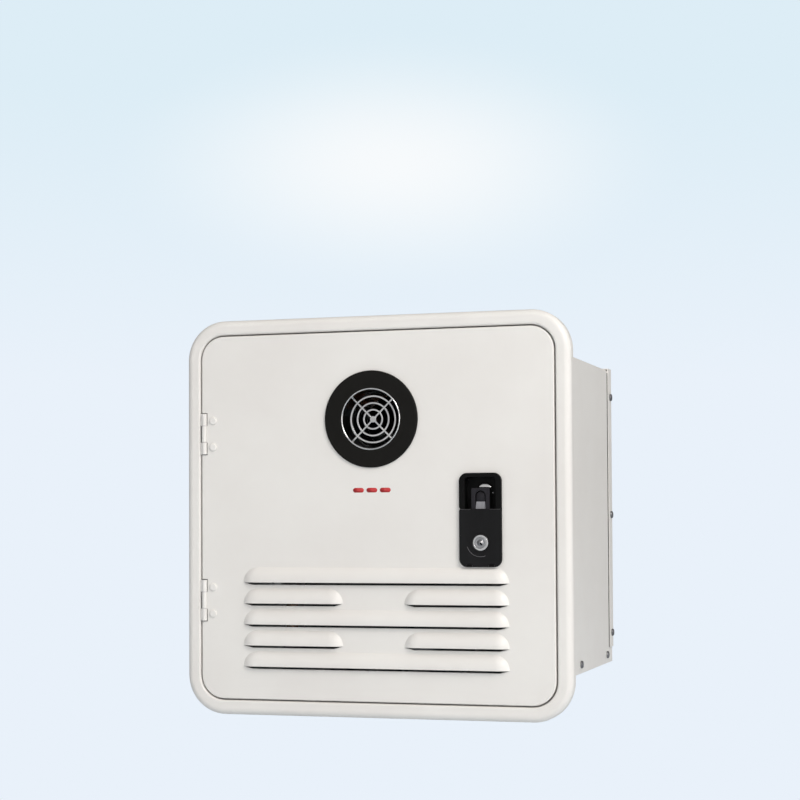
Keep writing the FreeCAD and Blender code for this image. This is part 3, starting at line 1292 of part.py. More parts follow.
def electrics():
    """Control box with lid, board and power switch, and the cable grommet."""
    wall = BOX_RIGHT
    front, back = "stack_front", "(stack_front+box_depth)"
    box = Piece("control_box")
    box.pad("XZ", front, back, rect(BOX_LEFT, wall, "box_bottom", "box_top"))
    box.pocket("XZ", front, f"({back}-box_skin)", rect(
        f"({BOX_LEFT}+box_skin)", f"({wall}-box_skin)", "(box_bottom+box_skin)",
        "(box_top-box_skin)"))
    window = rect(f"({SWITCH_X}-switch_width/2-window_side)", f"({SWITCH_X}+switch_width/2+window_side)",
                  "(switch_z-switch_height/2-window_end)", "(switch_z+switch_height/2+window_end)")
    lid = Piece("control_lid")
    lid_front = f"({front}-box_skin)"
    lid.pad("XZ", lid_front, front, rect(BOX_LEFT, wall, "box_bottom", "box_top"), window)
    lid.pad("XZ", f"({lid_front}-bezel_rise)", lid_front, (
        "rounded", f"({SWITCH_X}-switch_width/2-bezel_side)",
        f"({SWITCH_X}+switch_width/2+bezel_side)", "(switch_z-switch_height/2-bezel_end)",
        "(switch_z+switch_height/2+bezel_end)", "bezel_corner"), window)
    switch = Piece("power_switch")
    low, high = "(switch_z-switch_height/2)", "(switch_z+switch_height/2)"
    switch.pad("YZ", f"({SWITCH_X}-switch_width/2)", f"({SWITCH_X}+switch_width/2)", ("polygon", [
        (f"({lid_front}-rocker_back)", low), (f"({lid_front}-rocker_back)", high),
        (f"({lid_front}-rocker_front)", high), (f"({lid_front}-rocker_dip)", "switch_z"),
        (f"({lid_front}-rocker_front)", low)]))
    switch.pad("YZ", f"({SWITCH_X}-switch_width/2-axle_reach)",
               f"({SWITCH_X}+switch_width/2+axle_reach)",
               disc(f"({lid_front}-axle_y)", "switch_z", "axle_radius"))
    board = Piece("control_board")
    face = f"({wall}-box_skin-board_gap)"
    board.pad("YZ", face, f"({face}+board_skin)", rect(
        f"({front}+board_inset)", f"({back}-board_inset)", "(box_bottom+board_inset)",
        "(box_top-board_inset)"))
    posts = [disc(y, z, "post_radius")
             for y in (f"({front}+post_inset)", f"({back}-post_inset)")
             for z in ("(box_bottom+post_inset)", "(box_top-post_inset)")]
    board.pad("YZ", f"({face}+board_skin)", f"({wall}-box_skin)", *posts)
    grommet = Piece("cable_grommet")
    inner, outer = f"({COVER_FRONT}-grommet_lip)", f"({COVER_BACK}+grommet_lip)"
    lip, throat = "(cable_hole+grommet_lip)", "(cable_hole-grommet_fit)"
    grommet.turn("Revolution", "XY", "cable_z", [("polygon", [
        ("cable_bore", inner), (lip, inner), (lip, COVER_FRONT), (throat, COVER_FRONT),
        (throat, COVER_BACK), (lip, COVER_BACK), (lip, outer), ("cable_bore", outer)])],
        ("cable_x", "0"), "V_Axis")


def check_and_write():
    """Stop on any failed object or bad shape, then write one file for each sub-part."""
    for thing in doc.Objects:
        if "Invalid" in thing.State or "Error" in thing.State:
            raise RuntimeError(f"{thing.Name} failed: {thing.State}")
    for body in PIECES:
        if body.Shape.isNull() or not body.Shape.isValid():
            raise RuntimeError(f"{body.Label} has no valid shape")
    os.makedirs("parts", exist_ok=True)
    for body in PIECES:
        body.Shape.exportStep(f"parts/{body.Label}.step")
        print(body.Label, len(body.Shape.Solids), round(body.Shape.Volume))


def main():
    fill_sheet()
    wall_frame()
    case()
    door()
    hinges()
    flue_outlet()
    latch()
    stack()
    fan()
    gas()
    water()
    electrics()
    doc.recompute()
    check_and_write()


main()
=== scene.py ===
import json
import math

import bmesh
import bpy
from mathutils import Matrix, Vector


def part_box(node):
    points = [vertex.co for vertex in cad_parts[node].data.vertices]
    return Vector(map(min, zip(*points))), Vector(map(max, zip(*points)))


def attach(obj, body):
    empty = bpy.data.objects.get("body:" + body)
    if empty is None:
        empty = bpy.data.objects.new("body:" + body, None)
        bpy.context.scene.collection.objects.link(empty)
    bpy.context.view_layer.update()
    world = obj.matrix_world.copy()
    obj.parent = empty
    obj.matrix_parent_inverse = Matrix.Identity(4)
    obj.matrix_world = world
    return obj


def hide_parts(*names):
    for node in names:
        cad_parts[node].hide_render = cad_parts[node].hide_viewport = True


# Looks of the recessed caravan water heater. Lengths are in metres, in the frame of the solids:
# X to the right, Y into the vehicle, Z up. Colours are linear.

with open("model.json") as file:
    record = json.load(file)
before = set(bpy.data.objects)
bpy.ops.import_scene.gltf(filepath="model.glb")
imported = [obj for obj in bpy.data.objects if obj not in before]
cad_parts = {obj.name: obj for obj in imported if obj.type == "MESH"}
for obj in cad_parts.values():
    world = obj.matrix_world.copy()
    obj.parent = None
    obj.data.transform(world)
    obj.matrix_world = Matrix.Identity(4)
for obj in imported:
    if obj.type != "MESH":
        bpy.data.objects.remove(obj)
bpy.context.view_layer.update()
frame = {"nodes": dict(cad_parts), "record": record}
NODES = frame["nodes"]

# Places taken from the solids
DOOR_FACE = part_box("vent_collar")[1].y
DOOR_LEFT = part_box("door_panel")[0].x
PADDLE_LOW, PADDLE_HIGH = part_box("latch_paddle")
LOCK_LOW, LOCK_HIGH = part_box("lock_cylinder")
TONGUE_LOW, TONGUE_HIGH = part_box("latch_tongue")
STUD_LOW, STUD_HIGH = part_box("latch_stud")
LEAF_LOW, LEAF_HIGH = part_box("hinge_leaves_door")
BUTTON_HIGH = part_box("release_button")[1]
CASE_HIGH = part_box("case_wrap")[1]
COVER_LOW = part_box("rear_cover")[0]
LATCH_X = (PADDLE_LOW.x + PADDLE_HIGH.x) / 2
LOCK_Z = (LOCK_LOW.z + LOCK_HIGH.z) / 2

# Camera that the photograph's edges ask for
CAMERA_PLACE = Vector((0.5334, -1.6567, -0.0047))
CAMERA_YAW = math.radians(17.13)
CAMERA_PITCH = math.radians(1.907)
CAMERA_ROLL = math.radians(-0.294)
FOCAL_PIXELS = 1830.1
PICTURE = 800
CENTRE_DROP = 60.0
SENSOR = 36.0
CLIP_END = 100.0


def linear(*levels):
    """Linear colour from three levels of a 0 to 255 screen colour."""
    out = []
    for level in levels:
        c = level / 255.0
        out.append(c / 12.92 if c <= 0.04045 else ((c + 0.055) / 1.055) ** 2.4)
    return tuple(out)


# Materials

BEVEL_SAMPLES = 6
EDGE_START, EDGE_FULL = 0.02, 0.25
ROUGH_LOW, ROUGH_HIGH = 0.3, 0.7


class Finish:
    """A material made of nodes, on object coordinates in metres."""

    def __init__(self, name, roughness=0.5, metallic=0.0):
        self.material = bpy.data.materials.new(name)
        self.material.use_nodes = True
        self.tree = self.material.node_tree
        self.shader = self.tree.nodes["Principled BSDF"]
        self.shader.inputs["Metallic"].default_value = metallic
        self.shader.inputs["Roughness"].default_value = roughness
        self.normal = None
        self.place = self.node("ShaderNodeTexCoord").outputs["Object"]

    def node(self, kind, **values):
        made = self.tree.nodes.new(kind)
        for key, value in values.items():
            setattr(made, key, value)
        return made

    def join(self, source, target):
        self.tree.links.new(source, target)

    def stretched(self, stretch):
        """Object coordinates scaled per axis, for brushed or rolled marks."""
        mapping = self.node("ShaderNodeMapping")
        mapping.inputs["Scale"].default_value = stretch
        self.join(self.place, mapping.inputs["Vector"])
        return mapping.outputs["Vector"]

    def noise(self, scale, detail=3.0, rough=0.55, stretch=None):
        noise = self.node("ShaderNodeTexNoise")
        noise.inputs["Scale"].default_value = scale
        noise.inputs["Detail"].default_value = detail
        noise.inputs["Roughness"].default_value = rough
        self.join(self.stretched(stretch) if stretch else self.place, noise.inputs["Vector"])
        return noise.outputs["Fac"]

    def ramp(self, source, low, high, start=0.0, end=1.0, kind="LINEAR"):
        """The source's stretch from low to high, mapped to start to end."""
        ranged = self.node("ShaderNodeMapRange", interpolation_type=kind)
        for key, value in (("From Min", low), ("From Max", high), ("To Min", start),
                           ("To Max", end)):
            ranged.inputs[key].default_value = value
        self.join(source, ranged.inputs["Value"])
        return ranged.outputs["Result"]

    def combine(self, operation, first, second):
        """One value from two, by an arithmetic operation."""
        both = self.node("ShaderNodeMath", operation=operation)
        self.join(first, both.inputs[0])
        self.join(second, both.inputs[1])
        return both.outputs[0]

    def mix(self, factor, first, second):
        """Colour between two colours or colour sockets."""
        mixed = self.node("ShaderNodeMix", data_type="RGBA")
        self.join(factor, mixed.inputs[0])
        for socket, colour in ((mixed.inputs[6], first), (mixed.inputs[7], second)):
            if isinstance(colour, tuple):
                socket.default_value = (*colour, 1.0)
            else:
                self.join(colour, socket)
        return mixed.outputs[2]

    def rounded(self, radius):
        """The normal of a surface with rounded edges."""
        bevel = self.node("ShaderNodeBevel", samples=BEVEL_SAMPLES)
        bevel.inputs["Radius"].default_value = radius
        return bevel.outputs["Normal"]

    def soften(self, radius):
        """Round the edges in the shading."""
        self.normal = self.rounded(radius)

    def edges(self, radius):
        """How near the surface is to a sharp edge, 0 to 1."""
        dot = self.node("ShaderNodeVectorMath", operation="DOT_PRODUCT")
        self.join(self.rounded(radius), dot.inputs[0])
        self.join(self.node("ShaderNodeNewGeometry").outputs["Normal"], dot.inputs[1])
        return self.ramp(dot.outputs["Value"], low=1.0 - EDGE_START, high=1.0 - EDGE_FULL)

    def bump(self, height, distance):
        bump = self.node("ShaderNodeBump")
        bump.inputs["Distance"].default_value = distance
        bump.inputs["Strength"].default_value = 1.0
        self.join(height, bump.inputs["Height"])
        if self.normal is not None:
            self.join(self.normal, bump.inputs["Normal"])
        self.normal = bump.outputs["Normal"]

    def colour(self, socket):
        self.join(socket, self.shader.inputs["Base Color"])

    def patchy(self, source, smooth, rough):
        """A roughness that wanders between two values."""
        wander = self.ramp(source, low=ROUGH_LOW, high=ROUGH_HIGH, start=smooth, end=rough)
        self.join(wander, self.shader.inputs["Roughness"])

    def done(self):
        if self.normal is not None:
            self.join(self.normal, self.shader.inputs["Normal"])
        return self.material


def paint(name, base, shade, light, roughness, peel=0.000012):
    """Stoved paint on sheet metal: orange peel, faint clouding, and edges painted lighter in
    broken patches, a painted highlight.
    """
    look = Finish(name, roughness)
    look.soften(0.0006)
    cloud = look.ramp(look.noise(scale=9.0, detail=4.0), low=0.35, high=0.68)
    tone = look.mix(cloud, base, shade)
    # Edges painted lighter in broken patches with the light colour: a painted highlight along
    # them.
    broken = look.noise(scale=160.0, detail=5.0, rough=0.7)
    painted_edge_highlight = look.combine("MULTIPLY", look.edges(0.0011),
                        look.ramp(broken, low=0.4, high=0.75, end=0.6))
    look.colour(look.mix(painted_edge_highlight, tone, light))
    look.patchy(look.noise(scale=38.0), roughness - 0.05, roughness + 0.07)
    look.bump(look.noise(scale=520.0, detail=2.0, rough=0.4), peel)
    look.shader.inputs["Coat Weight"].default_value = 0.12
    look.shader.inputs["Coat Roughness"].default_value = 0.28
    return look.done()


def sheet_metal(name, base, shade, roughness, stretch, edge=0.0005):
    """Plated or bare sheet: rolled streaks, spangle and brighter edges."""
    look = Finish(name, roughness, metallic=1.0)
    look.soften(edge)
    streak = look.noise(scale=40.0, detail=4.0, rough=0.6, stretch=stretch)
    spangle = look.noise(scale=95.0, detail=2.0, rough=0.5)
    both = look.combine("ADD", look.ramp(streak, low=0.3, high=0.7, end=0.6),
                        look.ramp(spangle, low=0.35, high=0.65, end=0.4))
    look.colour(look.mix(both, base, shade))
    look.patchy(streak, roughness - 0.08, roughness + 0.1)
    look.bump(streak, 0.000008)
    return look.done()


def polished(name, base, shade, roughness):
    """Bright plated metal with fine wiping marks and a trace of soot or haze."""
    look = Finish(name, roughness, metallic=1.0)
    look.soften(0.0004)
    haze = look.ramp(look.noise(scale=55.0, detail=4.0, rough=0.6), low=0.42, high=0.75)
    look.colour(look.mix(haze, base, shade))
    look.patchy(look.noise(scale=210.0, detail=4.0), roughness - 0.05, roughness + 0.1)
    look.bump(look.noise(scale=900.0, detail=2.0), 0.000004)
    return look.done()


def moulded(name, base, shade, roughness, grain=1500.0, depth=0.00001):
    """Moulded plastic: fine spark-eroded grain, faint flow marks, and edges painted brighter, a
    painted highlight.
    """
    look = Finish(name, roughness)
    look.soften(0.0005)
    flow = look.noise(scale=28.0, rough=0.5, stretch=(1.0, 1.0, 0.35))
    tone = look.mix(look.ramp(flow, low=0.35, high=0.7), base, shade)
    # The brighter colour that paints a highlight along the edges.
    bright = tuple(min(1.0, 1.9 * c + 0.012) for c in base)
    painted_highlight = look.ramp(look.edges(0.0008), low=0.0, high=1.0, end=0.5)
    look.colour(look.mix(painted_highlight, tone, bright))
    look.patchy(look.noise(scale=75.0), roughness - 0.05, roughness + 0.08)
    look.bump(look.noise(scale=grain, rough=0.6), depth)
    return look.done()


def soft_cell(name, base, shade, roughness, cell):
    """Foam or rubber: open cells or fine talc bloom on a matt face."""
    look = Finish(name, roughness)
    spots = look.node("ShaderNodeTexVoronoi")
    spots.inputs["Scale"].default_value = cell
    look.join(look.place, spots.inputs["Vector"])
    bloom = look.ramp(look.noise(scale=60.0, detail=4.0), low=0.4, high=0.75)
    look.colour(look.mix(bloom, base, shade))
    look.bump(spots.outputs["Distance"], 0.00006)
    return look.done()


def heated_copper(name, bright, tint, dark):
    """Copper with heat tint in broad bands and darker fingering."""
    look = Finish(name, metallic=1.0)
    look.soften(0.0004)
    bands = look.noise(scale=16.0, detail=5.0, rough=0.65, stretch=(1.0, 1.0, 2.5))
    tone = look.mix(look.ramp(bands, low=0.38, high=0.68), bright, tint)
    spots = look.noise(scale=140.0, detail=4.0, rough=0.7)
    look.colour(look.mix(look.ramp(spots, low=0.58, high=0.78), tone, dark))
    look.patchy(look.noise(scale=60.0, detail=4.0), 0.22, 0.46)
    look.bump(look.noise(scale=400.0), 0.000008)
    return look.done()


def circuit_board(name, lacquer, track):
    """Lacquer over copper tracks, from a brick pattern."""
    look = Finish(name, roughness=0.35)
    tracks = look.node("ShaderNodeTexBrick")
    for key, value in (("Scale", 90.0), ("Mortar Size", 0.03), ("Brick Width", 0.9),
                       ("Row Height", 0.18)):
        tracks.inputs[key].default_value = value
    look.join(look.stretched((0.0, 1.0, 1.0)), tracks.inputs["Vector"])
    look.colour(look.mix(tracks.outputs["Fac"], lacquer, track))
    look.bump(tracks.outputs["Fac"], 0.00003)
    return look.done()


def matt_black(material):
    """The same finish with a faint gloss, so that the black stays deep."""
    shader = material.node_tree.nodes["Principled BSDF"]
    shader.inputs["Specular IOR Level"].default_value = 0.1
    shader.inputs["Coat Weight"].default_value = 0.0
    return material


# Each slot of the record: how it is made, and its values
RECIPES = {
    "white_paint": (paint, dict(base=linear(234, 231, 227), shade=linear(229, 225, 221),
                                light=linear(244, 243, 241), roughness=0.36)),
    "zinc_steel": (sheet_metal, dict(base=(0.56, 0.57, 0.58), shade=(0.42, 0.43, 0.45),
                                     roughness=0.38, stretch=(1.0, 1.0, 6.0))),
    "dark_screws": (sheet_metal, dict(base=(0.3, 0.3, 0.31), shade=(0.12, 0.12, 0.13),
                                      roughness=0.36, stretch=(3.0, 3.0, 3.0), edge=0.0003)),
    "bright_steel": (polished, dict(base=(0.72, 0.72, 0.72), shade=(0.5, 0.5, 0.51),
                                    roughness=0.18)),
    "black_coat": (paint, dict(base=linear(25, 24, 22), shade=linear(21, 20, 19),
                               light=linear(52, 50, 48), roughness=0.5, peel=0.00002)),
    "black_plastic": (moulded, dict(base=linear(30, 30, 31), shade=linear(24, 24, 25),
                                    roughness=0.46)),
    "grey_plastic": (moulded, dict(base=linear(50, 49, 53), shade=linear(38, 37, 41),
                                   roughness=0.5, grain=700.0, depth=0.00004)),
    "light_grey_plastic": (moulded, dict(base=linear(150, 149, 154), shade=linear(134, 133, 138),
                                         roughness=0.5)),
    "black_rubber": (soft_cell, dict(base=(0.022, 0.022, 0.023), shade=(0.04, 0.04, 0.04),
                                     roughness=0.72, cell=2600.0)),
    "foam": (soft_cell, dict(base=(0.05, 0.05, 0.052), shade=(0.08, 0.08, 0.08), roughness=0.9,
                             cell=900.0)),
    "copper": (heated_copper, dict(bright=(0.80, 0.40, 0.24), tint=(0.42, 0.16, 0.09),
                                   dark=(0.22, 0.11, 0.08))),
    "brass": (sheet_metal, dict(base=(0.78, 0.58, 0.26), shade=(0.6, 0.43, 0.2), roughness=0.28,
                                stretch=(1.0, 5.0, 1.0))),
    "aluminium": (sheet_metal, dict(base=(0.78, 0.79, 0.8), shade=(0.62, 0.63, 0.64),
                                    roughness=0.42, stretch=(1.0, 1.0, 1.0))),
    "coil_plastic": (moulded, dict(base=(0.035, 0.035, 0.04), shade=(0.02, 0.02, 0.024),
                                   roughness=0.3)),
    "wheel_plastic": (moulded, dict(base=(0.1, 0.1, 0.11), shade=(0.07, 0.07, 0.075),
                                    roughness=0.5)),
    "green_board": (circuit_board, dict(lacquer=(0.02, 0.16, 0.06), track=(0.05, 0.27, 0.1))),
    "ceramic": (moulded, dict(base=(0.84, 0.82, 0.77), shade=(0.72, 0.69, 0.63), roughness=0.22,
                              grain=700.0, depth=0.000004)),
    "lever_steel": (sheet_metal, dict(base=(0.66, 0.66, 0.67), shade=(0.5, 0.5, 0.52),
                                      roughness=0.3, stretch=(5.0, 1.0, 1.0))),
}
MATT_SLOTS = ("black_coat", "black_plastic", "grey_plastic")


def finishes():
    """Every material by its slot in the record."""
    looks = {slot: maker(slot, **values) for slot, (maker, values) in RECIPES.items()}
    for slot in MATT_SLOTS:
        matt_black(looks[slot])
    return looks


def dress(looks):
    """Give every carried-over node the finish of its slot, or its own shade of it."""
    own = {
        "latch_body": matt_black(moulded("deep_black", linear(14, 14, 14), linear(9, 9, 9),
                                         roughness=0.4)),
        "burner_box": sheet_metal("sooted_steel", (0.13, 0.13, 0.135), (0.06, 0.06, 0.062),
                                  roughness=0.5, stretch=(1.0, 1.0, 6.0)),
    }
    for row in frame["record"]["subparts"]:
        mesh = NODES[row["node"]].data
        mesh.materials.clear()
        mesh.materials.append(own.get(row["node"], looks[row["material_slot"]]))


# Rings of points and the pieces swept over them

CIRCLE_STEPS = 72
ARCH_STEPS = 16
BAR_STEPS = 10


def arc(cx, cz, y, radius, steps=CIRCLE_STEPS, start=0.0, turn=2 * math.pi):
    """Points along an arc facing the front, with its far end left out."""
    return [
        Vector((cx + radius * math.cos(start + turn * k / steps), y,
                cz + radius * math.sin(start + turn * k / steps)))
        for k in range(steps)
    ]


def bar_outline(cx, cz, half, rise, y):
    """A level bar with round ends, facing the front."""
    points = []
    for side in (1, -1):
        for k in range(BAR_STEPS + 1):
            angle = math.pi * (k / BAR_STEPS - 0.5)
            points.append(Vector((
                cx + side * (half - rise + rise * math.cos(angle)),
                y,
                cz + side * rise * math.sin(angle),
            )))
    return points


def arch(left, right, low, high, y):
    """A plate outline with a round top."""
    middle, half = (left + right) / 2, (right - left) / 2
    points = [Vector((left, y, low)), Vector((right, y, low))]
    for k in range(ARCH_STEPS + 1):
        angle = math.pi * k / ARCH_STEPS
        points.append(Vector((middle + half * math.cos(angle), y,
                              high - half + half * math.sin(angle))))
    return points


def sweep(shape, rings, closed):
    """Skin over rings of points, each ring the same length, with flat ends unless closed."""
    made = [[shape.verts.new(p) for p in ring] for ring in rings]
    count = len(made[0])
    pairs = list(zip(made, made[1:]))
    if closed:
        pairs.append((made[-1], made[0]))
    for first, second in pairs:
        for i in range(count):
            j = (i + 1) % count
            shape.faces.new((first[i], first[j], second[j], second[i]))
    if not closed:
        shape.faces.new(made[0])
        shape.faces.new(made[-1][::-1])


def cut_below(shape, level):
    """Take away what lies below a level, and close the cut."""
    cut = bmesh.ops.bisect_plane(
        shape, geom=shape.verts[:] + shape.edges[:] + shape.faces[:],
        plane_co=(0.0, 0.0, level), plane_no=(0.0, 0.0, 1.0), clear_inner=True)
    rim = [part for part in cut["geom_cut"] if isinstance(part, bmesh.types.BMEdge)]
    bmesh.ops.edgeloop_fill(shape, edges=rim)


def mesh_object(name, shape, material):
    """A new object in the scene from a bmesh, which it uses up."""
    mesh = bpy.data.meshes.new(name)
    shape.to_mesh(mesh)
    shape.free()
    mesh.materials.append(material)
    made = bpy.data.objects.new(name, mesh)
    bpy.context.scene.collection.objects.link(made)
    return made


def piece(name, stacks, material, body, closed=False, cut=None):
    """A smooth object swept over stacks of rings, riding on a body."""
    shape = bmesh.new()
    for rings in stacks:
        sweep(shape, rings, closed)
    if cut is not None:
        cut_below(shape, cut)
    bmesh.ops.recalc_face_normals(shape, faces=shape.faces)
    made = mesh_object(name, shape, material)
    for face in made.data.polygons:
        face.use_smooth = True
    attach(made, body)
    return made


# Red bars: rings as an inset and a share of how proud they stand
MARK_Z = 0.0245
MARK_MIDDLE = -0.0012
MARK_PITCH = 0.0133
MARK_HALF_LENGTH = 0.0054
MARK_HALF_HEIGHT = 0.0022
MARK_PROUD = 0.00012
MARK_RINGS = ((0.0, 0.0), (0.00006, 0.8), (0.00016, 1.0))


def colour_marks():
    """Three plain red bars printed on the door."""
    ink = paint("red_ink", linear(205, 48, 50), linear(196, 40, 45), linear(214, 74, 74),
                roughness=0.4)
    stacks = [
        [bar_outline(MARK_MIDDLE + step * MARK_PITCH, MARK_Z, MARK_HALF_LENGTH - inset,
                     MARK_HALF_HEIGHT - inset, DOOR_FACE - share * MARK_PROUD)
         for inset, share in MARK_RINGS]
        for step in (-1, 0, 1)
    ]
    piece("colour_marks", stacks, ink, "door")


# Lock: rings of the disc and the keyhole as an inset and a depth behind the face
FACE_RADIUS = 0.0053
FACE_SUNK = 0.00018
FACE_RINGS = ((0.0, 0.0003), (0.0, 0.0001), (0.0002, 0.0), (0.0011, -0.00008), (0.0014, 0.0),
              (0.0022, 0.0002), (0.0025, 0.00022), (0.0027, 0.00022), (0.0051, 0.00022))
KEYHOLE_TURN = math.radians(-52.0)
KEYHOLE_REACH = 0.0013
KEYHOLE_HALF_LENGTH = 0.0015
KEYHOLE_HALF_WIDTH = 0.0008
KEYHOLE_RINGS = ((0.0, 0.0004), (0.0, 0.00036), (0.0001, 0.00034))

# Black ring round the lock, its inner edge set off to the right
BEZEL_INNER = 0.0072
BEZEL_EDGE = 0.00005
BEZEL_SHIFT = 0.0005
BEZEL_FOOT, BEZEL_SHOULDER, BEZEL_CREST, BEZEL_THROAT = 0.0007, 0.0005, 0.0002, 0.0001
BEZEL_SUNK = 0.0001
SHOULDER_PROUD, CREST_PROUD, INNER_PROUD, THROAT_PROUD = 0.00002, 0.00008, 0.00003, 0.00001


def lock_pieces(looks):
    """The lock's recessed disc with its raised rim, the ring round it and the dark keyhole."""
    front = LOCK_LOW.y
    face = [arc(LATCH_X, LOCK_Z, front + FACE_SUNK + depth, FACE_RADIUS - inset)
            for inset, depth in FACE_RINGS]
    satin = polished("lock_satin", (0.36, 0.36, 0.37), (0.2, 0.2, 0.21), roughness=0.3)
    piece("lock_face", [face], satin, "lock")

    outer = (LOCK_HIGH.z - LOCK_LOW.z) / 2
    root = PADDLE_LOW.y + BEZEL_SUNK
    bezel = [
        arc(LATCH_X + shift, LOCK_Z, y, radius)
        for shift, radius, y in (
            (0.0, outer + BEZEL_FOOT, root),
            (0.0, outer + BEZEL_SHOULDER, front - SHOULDER_PROUD),
            (0.0, outer + BEZEL_CREST, front - CREST_PROUD),
            (BEZEL_SHIFT, BEZEL_INNER + BEZEL_EDGE, front - CREST_PROUD),
            (BEZEL_SHIFT, BEZEL_INNER, front - INNER_PROUD),
            (0.0, outer + BEZEL_THROAT, front - THROAT_PROUD),
            (0.0, outer + BEZEL_THROAT, root),
        )
    ]
    piece("lock_bezel", [bezel], looks["black_plastic"], "paddle", closed=True)

    spin = Matrix.Rotation(-KEYHOLE_TURN, 4, "Y")
    centre = Vector((LATCH_X + KEYHOLE_REACH * math.cos(KEYHOLE_TURN), 0.0,
                     LOCK_Z + KEYHOLE_REACH * math.sin(KEYHOLE_TURN)))
    slit = [
        [spin @ p + centre
         for p in bar_outline(0.0, 0.0, KEYHOLE_HALF_LENGTH - inset, KEYHOLE_HALF_WIDTH - inset,
                              front + depth)]
        for inset, depth in KEYHOLE_RINGS
    ]
    # The keyhole is a shallow slit in near black: painted shade for the depth of the keyway.
    hole = matt_black(moulded("keyhole_painted_shade", linear(8, 8, 8), linear(5, 5, 5), roughness=0.6))
    piece("lock_keyhole", [slit], hole, "lock")


# Ridge round the lock, a lighter grey arc only on its lower left where the light falls, a painted
# highlight: its section as shares of its width and of how proud it stands
RIDGE_RADIUS = 0.0129
RIDGE_WIDTH = 0.0005
RIDGE_PROUD = 0.0003
RIDGE_START, RIDGE_TURN = math.radians(196.0), math.radians(96.0)
RIDGE_STEPS = 48
RIDGE_SECTION = ((-0.5, -0.1), (-0.25, 0.8), (0.0, 1.0), (0.25, 0.8), (0.5, -0.1))

# Lighter lip along the paddle's top, a painted highlight: its section as a depth and a drop
LIP_MARGIN = 0.0012
LIP_GAP = 0.0004
LIP_END = 0.0004
LIP_DROP = 0.00005
LIP_SECTION = ((0.0001, 0.0), (-0.00012, 0.00005), (-0.00015, 0.00015), (-0.00012, 0.00025),
               (0.0001, 0.0003))


def painted_highlight_edges():
    """The low ridge round the lock and the lips beside the tongue, both in a lighter grey that
    paints their highlights.
    """
    # Lighter grey than the paddle: it paints the highlights on the ridge and the lips.
    painted_highlight = moulded("painted_highlight_edge", linear(96, 95, 97), linear(74, 73, 75), roughness=0.4)
    face = PADDLE_LOW.y
    lines = [
        arc(LATCH_X, LOCK_Z, face - proud * RIDGE_PROUD, RIDGE_RADIUS + offset * RIDGE_WIDTH,
            RIDGE_STEPS + 1, RIDGE_START, RIDGE_TURN * (RIDGE_STEPS + 1) / RIDGE_STEPS)
        for offset, proud in RIDGE_SECTION
    ]
    piece("paddle_ridge", [list(zip(*lines))], painted_highlight, "paddle")

    top = PADDLE_HIGH.z - LIP_DROP
    lips = [
        [[Vector((x, face + depth, top - drop)) for depth, drop in LIP_SECTION]
         for x in (left, left + LIP_END, right - LIP_END, right)]
        for left, right in ((PADDLE_LOW.x + LIP_MARGIN, TONGUE_LOW.x - LIP_GAP),
                            (TONGUE_HIGH.x + LIP_GAP, PADDLE_HIGH.x - LIP_MARGIN))
    ]
    piece("paddle_lip", lips, painted_highlight, "paddle")


# Plates in the tongue's slot, the black one behind the grey one painted shade for the gap round
# it: name, half width, top, front from the tongue's back, thickness, look
PLATE_GAP = 0.0004
PLATE_EDGE = 0.0002
SLOT_PLATES = (
    ("slot_painted_shade", 0.0058, 0.0240, 0.0001, 0.0008, "black_plastic"),
    ("slot_plate", 0.0041, 0.0221, -0.0012, 0.0013, "grey_plastic"),
)


def slot_plates(looks):
    """The plates seen through the tongue's slot: a grey plate, and a black one behind it that
    paints the shade in the gap round it.
    """
    low = BUTTON_HIGH.z + PLATE_GAP
    for name, half, top, near, thick, look in SLOT_PLATES:
        left, right, front = LATCH_X - half, LATCH_X + half, TONGUE_HIGH.y + near
        plate = [
            arch(left, right, low, top, front + thick),
            arch(left, right, low, top, front + PLATE_EDGE),
            arch(left + PLATE_EDGE, right - PLATE_EDGE, low + PLATE_EDGE, top - PLATE_EDGE,
                 front),
        ]
        piece(name, [plate], looks[look], "paddle")


# Stud in the finger cup, of which only the part above the cut shows
STUD_SHIFT = 0.0012
STUD_CUT = 0.0262
DOME_STEPS = 10
DOME_TIP = math.radians(0.6)

# Pin beside it: rings as a radius and a depth
PIN_PLACE = Vector((0.1146, -0.0046, 0.0209))
PIN_RINGS = ((0.0009, 0.0007), (0.0009, 0.0), (0.0007, -0.0004), (0.0003, -0.0006),
             (0.00005, -0.00062))
PIN_STEPS = 24


def cup_pieces(looks):
    """The domed stud and the small pin in the finger cup."""
    steel = looks["bright_steel"]
    radius = (STUD_HIGH.z - STUD_LOW.z) / 2
    shoulder = (STUD_HIGH.y + STUD_LOW.y) / 2
    profile = [(radius, STUD_HIGH.y), (radius, shoulder)]
    for k in range(1, DOME_STEPS + 1):
        angle = math.pi / 2 * k / DOME_STEPS - DOME_TIP
        profile.append((radius * math.cos(angle),
                        shoulder - (shoulder - STUD_LOW.y) * math.sin(angle)))
    cx, cz = (STUD_LOW.x + STUD_HIGH.x) / 2 + STUD_SHIFT, STUD_HIGH.z - radius
    dome = [arc(cx, cz, y, r) for r, y in profile]
    made = piece("stud_dome", [dome], steel, "door", cut=STUD_CUT)
    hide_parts("latch_stud")

    pin = [arc(PIN_PLACE.x, PIN_PLACE.z, PIN_PLACE.y + depth, r, PIN_STEPS)
           for r, depth in PIN_RINGS]
    piece("cup_pin", [pin], steel, "door")


# Dark strips behind the knuckles, painted shade for the gaps round them: rings as an inset and a
# depth behind the front
KNUCKLE_LENGTH = 0.0394
PAINTED_SHADE_REACH = 0.0060
PAINTED_SHADE_Y = -0.0099
PAINTED_SHADE_LAP = 0.0007
PAINTED_SHADE_MARGIN = 0.0001
PAINTED_SHADE_RINGS = ((0.0, 0.0004), (0.0, 0.0001), (0.0002, 0.0))


